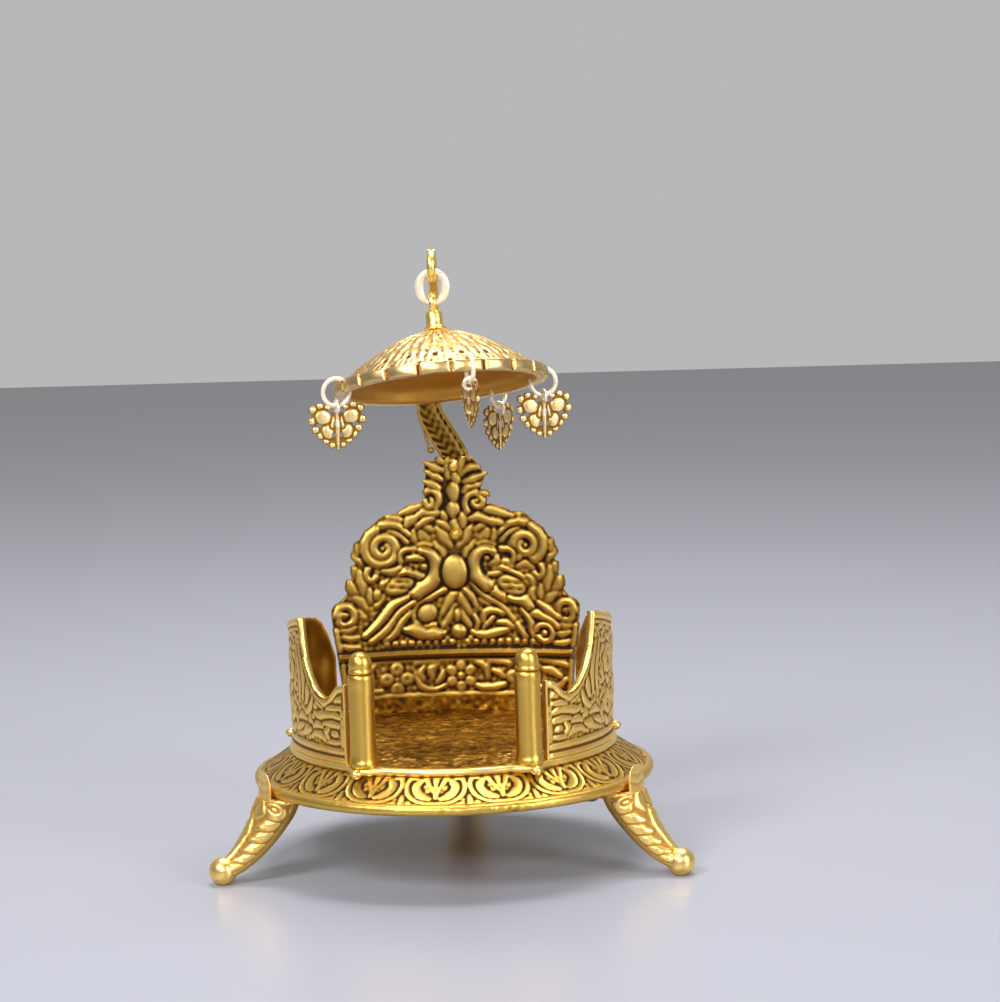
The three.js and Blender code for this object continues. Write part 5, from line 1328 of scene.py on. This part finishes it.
def canopy_blocks():
    """The band of rounded blocks, with a dark joint between each two."""
    sector = (circle(CANOPY_STEPS) / (2 * np.pi / SECTORS) + 0.5) % 1
    joint = np.exp(-(np.minimum(sector, 1 - sector) / 0.05) ** 2)[:, None]
    turn = np.radians(np.linspace(-90, 100, 13))
    swell = BLOCK_SWELL * (np.cos(2 * np.pi * (sector - 0.5))[:, None] - 1)
    radius = CANOPY_RADIUS - 1.0 + BLOCK_REACH * power(np.cos(turn), BLOCK_ROUND)
    radius = radius + (swell - BLOCK_REACH * joint) * np.cos(turn).clip(0)
    height = BLOCK_HEIGHT / 2 * (1 + power(np.sin(turn), BLOCK_ROUND)) - 0.6 * joint * np.sin(turn).clip(0)
    return radius, height, 0.1 + 0.85 * joint + 0.08 * grain(radius.shape, 3, True)


def add_canopy():
    dome = canopy_dome()
    lip = all_round([(CANOPY_INNER + 0.5, 0.15), (CANOPY_RADIUS - 2.0, 0.0)], CANOPY_STEPS, 0.02)
    R, Z, tone = banded([canopy_hollow(), lip, canopy_blocks(), dome])
    a = circle(CANOPY_STEPS)[:, None]
    points = hung(joined(R * np.cos(a), R * np.sin(a), Z), STEM_LENGTH + CANOPY_HEIGHT)
    shape = Shape().grid(points, wrap_u=True, wrap_v=True, patina=tone)
    thing = shape.piece("canopy_casting", pale, "parasol", ("canopy_shell",))
    axis = PARASOL_TURN[:, 2]

    def hollow(at, way):
        away = at - PARASOL_EYE
        out = np.linalg.norm(away - np.outer(away @ axis, axis), axis=1)
        return (way @ axis < -0.2) & (out < CANOPY_INNER + 0.4)
    repaint(thing, under_gilt, hollow)


STEM_RADIUS, STEM_EYE, STEM_EYE_HOLE, STEM_EYE_WIDTH = 2.6, 3.3, 2.1, 2.2
COLLAR_RADIUS, COLLAR_HEIGHT = 3.3, 1.1
TAIL_RADIUS, TAIL_LENGTH = 1.4, 3.9


def add_stem():
    low = -STEM_LENGTH + 0.3
    shoulder = -STEM_EYE_HOLE - 0.3
    profile = [(0, low - TAIL_LENGTH), (TAIL_RADIUS, low - TAIL_LENGTH), (TAIL_RADIUS, low),
               (COLLAR_RADIUS, low), (COLLAR_RADIUS, low + 0.4),
               (COLLAR_RADIUS - 0.2, low + COLLAR_HEIGHT - 0.2),
               (STEM_RADIUS + 0.1, low + COLLAR_HEIGHT), (STEM_RADIUS, low + COLLAR_HEIGHT + 0.4),
               (STEM_RADIUS - 0.1, (low + shoulder) / 2), (STEM_RADIUS, shoulder - 1.0),
               (STEM_RADIUS - 0.2, shoulder - 0.4), (STEM_RADIUS - 0.8, shoulder), (0, shoulder)]
    shape = Shape().grid(hung(turned(profile, 48)), wrap_u=True, patina=0.04)
    wire = (STEM_EYE - STEM_EYE_HOLE) / 2
    eye = wire_loop(STEM_EYE - wire, STEM_EYE - wire, wire, 60, 16, STEM_EYE_WIDTH / 2, side_on=True)
    shape.grid(hung(eye), wrap_u=True, wrap_v=True, patina=0.04)
    shape.piece("stem_casting", leg_gilt, "parasol", ("canopy_stem",), "gilt_polished")


# Rings and leaf drops

RING_WIRE, RING_SWELL, RIM_RING_WIRE = 0.9, 0.5, 0.7
LEAF_EYE_RADIUS, LEAF_EYE_WIRE = 1.7, 0.6
LEAF_HEIGHT, LEAF_WIDTH, LEAF_THICKNESS, LEAF_STEP = 13.6, 16.4, 1.4, 0.16
LEAF_SHOULDER_SHARE = 0.08
LEAF_HIGHEST = 1.1
# A leaf's places are shares of its half width and of its height, down from its shoulder.
LEAF_SHARES = [(0, 0.2), (0.3, 0.12), (0.5, 0.02), (0.78, 0), (0.97, 0.12), (1, 0.32), (0.9, 0.5),
               (0.84, 0.64), (0.6, 0.74), (0.34, 0.9), (0, 1)]
LEAF_BEAD_SHARES = [(0.34, 0.09), (0.62, 0.05), (0.88, 0.12), (0.93, 0.36), (0.8, 0.55), (0.62, 0.68),
                    (0.42, 0.8), (0.2, 0.9)]
LEAF_BEADS = (1.0, 1.15, 1.2, 1.25, 1.15, 1.15, 1.05, 0.95)
# The pierced holes: place and size.
PIERCE_SHARES = [(0.24, 0.17, 0.12, 0.04), (0.66, 0.46, 0.12, 0.045), (0.14, 0.68, 0.1, 0.05)]


def add_rings():
    low, high = box("hanging_ring")
    half = (high - low) / 2 - RING_WIRE
    ring = wire_loop(half[0], half[2], RING_WIRE, swell=RING_SWELL) + (low + high) / 2
    Shape().grid(ring, wrap_u=True, wrap_v=True, patina=0.05).piece(
        "ring_wire", painted_highlight_gold, "ring", ("hanging_ring",), "gilt_bright")


def leaf_relief():
    """A pierced leaf of round lobes, with a bead on each point of its edge."""
    half, top = LEAF_WIDTH / 2, LEAF_HEIGHT * LEAF_SHOULDER_SHARE
    field = Relief((-half - 0.2, half + 0.2), (top - LEAF_HEIGHT - 0.2, top + 0.2), LEAF_STEP)

    def spot(a, d):
        return a * half, top - d * LEAF_HEIGHT
    right = [spot(a, d) for a, d in LEAF_SHARES]
    field.fill([(x * 0.9, (z + 5) * 0.9 - 5) for x, z in right + [(-x, z) for x, z in right[-2:0:-1]]])
    for side in (-1, 1):
        for (a, d), radius in zip(LEAF_BEAD_SHARES, LEAF_BEADS):
            field.dome(spot(side * a, d), (radius, radius), 1.0, groove=0.2)
        field.dome(spot(side * 0.52, 0.29), (2.7, 2.4), 1.2, side * 25, groove=0.2)
        field.dome(spot(side * 0.36, 0.61), (1.9, 2.3), 1.2, side * -20, groove=0.2)
        field.stroke([spot(side * 0.12, 0.3), spot(side * 0.2, 0.5)], (0.5, 0.7), 0.9, groove=0.2)
    field.stroke([spot(0, 0.22), spot(0, 0.5), spot(0, 0.98)], (0.6, 0.9, 0.5), 1.1, groove=0.25)
    for a, d, wide, tall in PIERCE_SHARES:
        for x, z in (spot(-a, d), spot(a, d)):
            hole = np.hypot((field.U - x) / (wide * half), (field.V - z) / (tall * LEAF_HEIGHT))
            field.cover = np.minimum(field.cover, (hole - 1) * tall * LEAF_HEIGHT)
    field.settle(0.02)
    # The leaf's middle is made paler, towards white, a painted highlight on its big lobes; near its edge and
    # holes it turns a darker gold.
    edge = np.clip((2.2 - field.cover) / 0.5, 0, 1)
    field.patina = np.clip(field.patina - 0.2 + 0.55 * edge, 0, 1)
    return field


def add_drops():
    for name in ("front", "right", "rear", "left"):
        out = np.array(JOINTS["leaf_sway_" + name]["axis"]) * (-1 if name == "left" else 1)
        low, high = box("rim_ring_" + name)
        centre = (low + high) / 2
        radius = (high[2] - low[2]) / 2 - RIM_RING_WIRE
        turn = np.array(Matrix.Rotation(math.atan2(out[1], out[0]), 3, "Z"))

        def placed(points):
            return points @ turn.T + centre
        ring = wire_loop(radius, radius, RIM_RING_WIRE, 56, 14)
        Shape().grid(placed(ring), wrap_u=True, wrap_v=True, patina=0.05).piece(
            "rim_ring_wire_" + name, painted_highlight_gold, "hook_" + name, ("rim_ring_" + name,), "gilt_bright")
        eye_z = box("leaf_drop_" + name)[1][2] - LEAF_EYE_RADIUS - LEAF_EYE_WIRE - centre[2]
        field = leaf_relief()

        def front(U, V, H):
            return placed(joined(U, -0.1 - np.clip(H, 0, LEAF_HIGHEST) * 0.5, V + eye_z))

        def rear(U, V):
            rise = 0.45 * np.clip(field.H, 0, LEAF_HIGHEST)
            return placed(joined(U, LEAF_THICKNESS * 0.1 + rise, V + eye_z))
        shape = Shape().sheet(field, front, rear, field.patina)
        eye = wire_loop(LEAF_EYE_RADIUS, LEAF_EYE_RADIUS, LEAF_EYE_WIRE, 40, 12, side_on=True)
        shape.grid(placed(eye + (0, 0, eye_z)), wrap_u=True, wrap_v=True, patina=0.05)
        shape.piece("leaf_casting_" + name, leaf_painted_highlight_gilt, "leaf_" + name, ("leaf_drop_" + name,), "gilt_bright")


# Legs

GAP = 0.3
LEG_TOP = BASE_UNDER - GAP
FOOT_BALL, FOOT_FLAT, FOOT_STEPS = 4.1, 0.35, 56
LEG_REACH = box("leg_rear")[1][1] - AXIS_Y - FOOT_BALL
LEG_KNEE_REACH = BASE_RADIUS - 3.8
LEG_WIDTHS, LEG_DEPTHS = (7.6, 16.0), (5.4, 12.4)  # at the ankle and at the knee
# A leg's route as shares of its reach and rise, then shares of its width and depth.
LEG_SHARES = [
    (0, 1, 1, 0.9), (0.08, 0.88, 1, 0.84), (0.19, 0.74, 0.9, 0.72), (0.32, 0.6, 0.74, 0.6),
    (0.46, 0.465, 0.56, 0.45), (0.62, 0.34, 0.38, 0.28), (0.78, 0.24, 0.2, 0.12), (0.92, 0.185, 0.06, 0.02),
    (1.03, 0.19, 0, 0.02),
]
LEG_PAD, LEG_PAD_WIDTH = 2.4, 9.4
LEG_SIDES = 144
LEG_FACE = 2.0  # how far round the leg its leaf work reaches each way, in radians
LEG_FIELD_HALF, LEG_FIELD_LONG = 8.0, 32.0  # the relief's own size, which narrows with the leg
EAR_PLATE_WIDTH, EAR_PLATE_WALL, EAR_PLATE_RISE = 9.2, 1.5, 7.3
EAR_PLATE_SHARES = [(1, 0), (1, 0.3), (0.99, 0.55), (0.93, 0.75), (0.78, 0.9), (0.5, 0.98), (0.16, 1)]
EAR_PLATE_SQUARE = 0.6


def leg_relief():
    """Two leaves under the knee, ribs down to the ankle and small leaves between them."""
    half, long = LEG_FIELD_HALF, LEG_FIELD_LONG
    field = Relief((-half, half), (0, long), 0.2, 0.22, 1.12, 0.3)
    for side in (-1, 1):
        for v in np.arange(12.0, long - 1, 4.6):
            rib = [(side * 6.8, v - 4.6), (side * 5.0, v - 1.2), (side * 2.4, v + 1.4)]
            field.stroke(rib, (0.6, 1.9, 0.7), 1.1, ridges=3, vein=0.25)
        field.stroke([(side * 7.7, 3), (side * 7.7, long)], 0.5, 1.2)
        field.spiral((side * 4.1, 5.0), 2.6, 0.8, 90, -1.3 * side, 0.85, 1.4)
        field.dome((side * 4.1, 5.0), (0.9, 0.9), 1.2)
        field.stroke([(side * 0.7, 11.6), (side * 1.4, 7.6), (side * 1.0, 2.6)], (0.4, 1.5, 0.5), 1.4)
    field.stroke([(0, 9.4), (0, 16), (0, long)], (0.5, 1.5, 1.2), 1.5)
    field.infill(1.8, 0.6, 0.24)
    field.settle(0.03)
    return field


def ear_plate():
    """The smooth ear that hugs the outside of the rim, as rings from its foot to its rounded top."""
    wide, tall = smooth_path(EAR_PLATE_SHARES, 6).T[..., None]
    turn = circle(64)
    across = power(np.cos(turn), EAR_PLATE_SQUARE) * wide * EAR_PLATE_WIDTH / 2
    up = np.broadcast_to(LEG_TOP - LEG_PAD + tall * (EAR_PLATE_RISE + LEG_PAD), across.shape)
    crease = np.exp(-((up - LEG_TOP - 1.6 - 0.35 * np.abs(across)) / 0.4) ** 2)
    crease += 0.7 * np.exp(-((up - LEG_TOP - 4.4 - 0.25 * np.abs(across)) / 0.35) ** 2)
    crease *= (np.sin(turn) > 0) * np.clip(1.1 - (2 * across / EAR_PLATE_WIDTH) ** 2, 0, 1)
    thin = np.clip(1.25 - tall, 0.35, 1)
    through = power(np.sin(turn), EAR_PLATE_SQUARE) * EAR_PLATE_WALL / 2 * thin - 0.35 * crease
    reach = BASE_RADIUS + GAP + EAR_PLATE_WALL / 2 + through
    return joined(np.sqrt(np.maximum(reach**2 - across**2, 0)), across, up), 0.22 + 0.4 * crease


def leg_rings():
    """A leg from its knee to its ankle as rings with their patina, pointing along X."""
    rows = smooth_path(LEG_SHARES, 24)
    out = LEG_KNEE_REACH + rows[:, 0] * (LEG_REACH - LEG_KNEE_REACH)
    up = rows[:, 1] * LEG_TOP
    path = np.stack([out, up], -1)
    half_width, half_depth = ((ends[0] + rows[:, k, None] * (ends[1] - ends[0])) / 2
                              for k, ends in ((2, LEG_WIDTHS), (3, LEG_DEPTHS)))
    way = unit_length(np.gradient(path, axis=0))
    blend = np.clip(rows[:, 0] / 0.08, 0, 1)[:, None]
    across = np.stack([-way[:, 1], way[:, 0]], -1) * blend + np.array([[1.0, 0]]) * (1 - blend)
    across = unit_length(across)
    turn = circle(LEG_SIDES)
    run = run_along(path)[:, None]
    field = leg_relief()
    bend = (turn + np.pi) % (2 * np.pi) - np.pi
    u, v = np.broadcast_arrays(LEG_FIELD_HALF * np.clip(bend / LEG_FACE, -1, 1),
                               LEG_FIELD_LONG * (run / run[-1]))
    face = np.clip(3 * (LEG_FACE - np.abs(bend)), 0, 1)
    rise = (sampled(field, field.H, u, v) - 0.8) * 0.75 * face * np.clip((run[-1] - run) / 2, 0, 1)
    tone = 0.5 + (sampled(field, field.patina, u, v) - 0.5) * face
    deep = (half_depth + rise) * np.cos(turn)
    wide = (half_width + 0.4 * rise) * np.sin(turn)
    return np.stack([out[:, None] + deep * across[:, :1], wide, up[:, None] + deep * across[:, 1:]], -1), tone


def leg_pad():
    """The flat top of a leg, under the rim and the boss."""
    half = LEG_PAD_WIDTH / 2
    corners = ((-half, LEG_TOP - LEG_PAD), (-half, LEG_TOP), (half, LEG_TOP), (half, LEG_TOP - LEG_PAD))
    return [[(x, y, z) for y, z in corners] for x in np.linspace(BOSS_REACH - BOSS_RADIUS, LEG_KNEE_REACH, 6)]


def add_legs():
    rings, tone = leg_rings()
    ear, ear_tone = ear_plate()
    lowest = -math.degrees(math.asin((FOOT_BALL - FOOT_FLAT) / FOOT_BALL))
    centre = (LEG_REACH, 0, FOOT_BALL - FOOT_FLAT)
    foot = ball(centre, (FOOT_BALL, FOOT_BALL, FOOT_BALL), FOOT_STEPS, 28, lowest)
    foot = np.concatenate([np.broadcast_to([LEG_REACH, 0, 0], (FOOT_STEPS, 1, 3)), foot], 1)
    for name, bearing in LEG_BEARINGS.items():
        swing = np.array(Matrix.Rotation(math.radians(bearing - 90), 3, "Z"))

        def placed(points):
            return np.asarray(points) @ swing.T + (0, AXIS_Y, 0)
        shape = Shape().tube(placed(rings), tone)
        shape.tube(placed(ear), ear_tone)
        shape.grid(placed(foot), wrap_u=True, patina=0.08)
        shape.tube(placed(leg_pad()), 0.5)
        shape.piece("leg_casting_" + name, leg_gilt, "throne", ("leg_" + name,), "gilt_polished")


# Floor, lights and camera

CAMERA_PLACE = (46.70, -900.38, 212.47)
CAMERA_TURN, CAMERA_PITCH, CAMERA_ROLL = 1.98, 6.876, 1.7  # degrees
FOCAL_PIXELS, IMAGE_HEIGHT, SENSOR = 3061.0, 1002.0, 36.0
FLOOR_NEAR, FLOOR_FAR, FLOOR_HALF_WIDTH = -2.5, 1.79, 3.0  # metres
# The world from behind the camera to behind the throne, and the lamps in metres and watts.
WORLD_TONES = [(0.0, 0.10), (0.35, 0.16), (0.75, 0.42), (1.0, 0.48)]
LAMPS = [
    ("key", (-0.5, -0.7, 0.8), (0, 0, 0.08), (0.35, 0.35), 9),
    ("fill", (0.75, -0.6, 0.4), (0, 0, 0.08), (0.3, 0.5), 5),
    ("top", (0.05, 0.2, 0.88), (0, 0, 0.1), (0.6, 0.4), 9),
    ("front", (-0.1, -1.1, 0.55), (0, 0, 0.1), (0.5, 0.2), 5),
]


def add_camera():
    turn, pitch, roll = (math.radians(a) for a in (CAMERA_TURN, CAMERA_PITCH, CAMERA_ROLL))
    ahead = Vector((-math.sin(turn) * math.cos(pitch), math.cos(turn) * math.cos(pitch), -math.sin(pitch)))
    right = Vector((math.cos(turn), math.sin(turn), 0))
    up = right.cross(ahead)
    side = math.cos(roll) * right - math.sin(roll) * up
    top = math.sin(roll) * right + math.cos(roll) * up
    data = bpy.data.cameras.new("camera")
    data.sensor_width = SENSOR
    data.lens = FOCAL_PIXELS / IMAGE_HEIGHT * SENSOR
    data.clip_start, data.clip_end = 0.01, 50.0
    camera = bpy.data.objects.new("camera", data)
    place = Vector(CAMERA_PLACE) * MM
    camera.matrix_world = Matrix(((side.x, top.x, -ahead.x, place.x), (side.y, top.y, -ahead.y, place.y),
                                  (side.z, top.z, -ahead.z, place.z), (0, 0, 0, 1)))
    bpy.context.scene.collection.objects.link(camera)
    bpy.context.scene.camera = camera


def add_light(name, place, aim, size, watts):
    data = bpy.data.lights.new(name, "AREA")
    data.shape = "RECTANGLE"
    data.size, data.size_y = size
    data.energy = watts
    lamp = bpy.data.objects.new(name, data)
    lamp.location = place
    lamp.rotation_euler = (Vector(aim) - Vector(place)).to_track_quat("-Z", "Y").to_euler()
    bpy.context.scene.collection.objects.link(lamp)


def add_floor():
    mesh = bpy.data.meshes.new("floor")
    corners = [(-FLOOR_HALF_WIDTH, FLOOR_NEAR, 0), (FLOOR_HALF_WIDTH, FLOOR_NEAR, 0),
               (FLOOR_HALF_WIDTH, FLOOR_FAR, 0), (-FLOOR_HALF_WIDTH, FLOOR_FAR, 0)]
    mesh.from_pydata(corners, [], [(0, 1, 2, 3)])
    floor = bpy.data.objects.new("floor", mesh)
    bpy.context.scene.collection.objects.link(floor)
    material, _, shader = new_material("pale_floor")
    shader.inputs["Base Color"].default_value = (0.33, 0.335, 0.385, 1)
    shader.inputs["Roughness"].default_value = 0.32
    mesh.materials.append(material)


def add_world():
    world = bpy.data.worlds.new("world")
    world.use_nodes = True
    tree = world.node_tree
    way = node(tree, "ShaderNodeSeparateXYZ")
    tree.links.new(node(tree, "ShaderNodeTexCoord").outputs["Generated"], way.inputs[0])
    share = scaled(tree, way.outputs["Y"], 0.5, 0.5)
    tree.links.new(ramp(tree, share, WORLD_TONES), tree.nodes["Background"].inputs["Color"])
    bpy.context.scene.world = world
    bpy.context.scene.view_settings.view_transform = "Standard"


def add_hardware():
    """Materials for the screws, the nut and the rivets, which stay as they were packed."""
    for name, thing in frame["nodes"].items():
        if not thing.hide_render:
            thing.data.materials.clear()
            thing.data.materials.append(steel if "screw" in name or "nut" in name else antique)


add_camera()
add_floor()
add_world()
for lamp in LAMPS:
    add_light(*lamp)
add_base()
add_seat()
add_legs()
add_posts()
add_wings()
add_back()
add_crook()
add_canopy()
add_stem()
add_rings()
add_drops()
add_hardware()
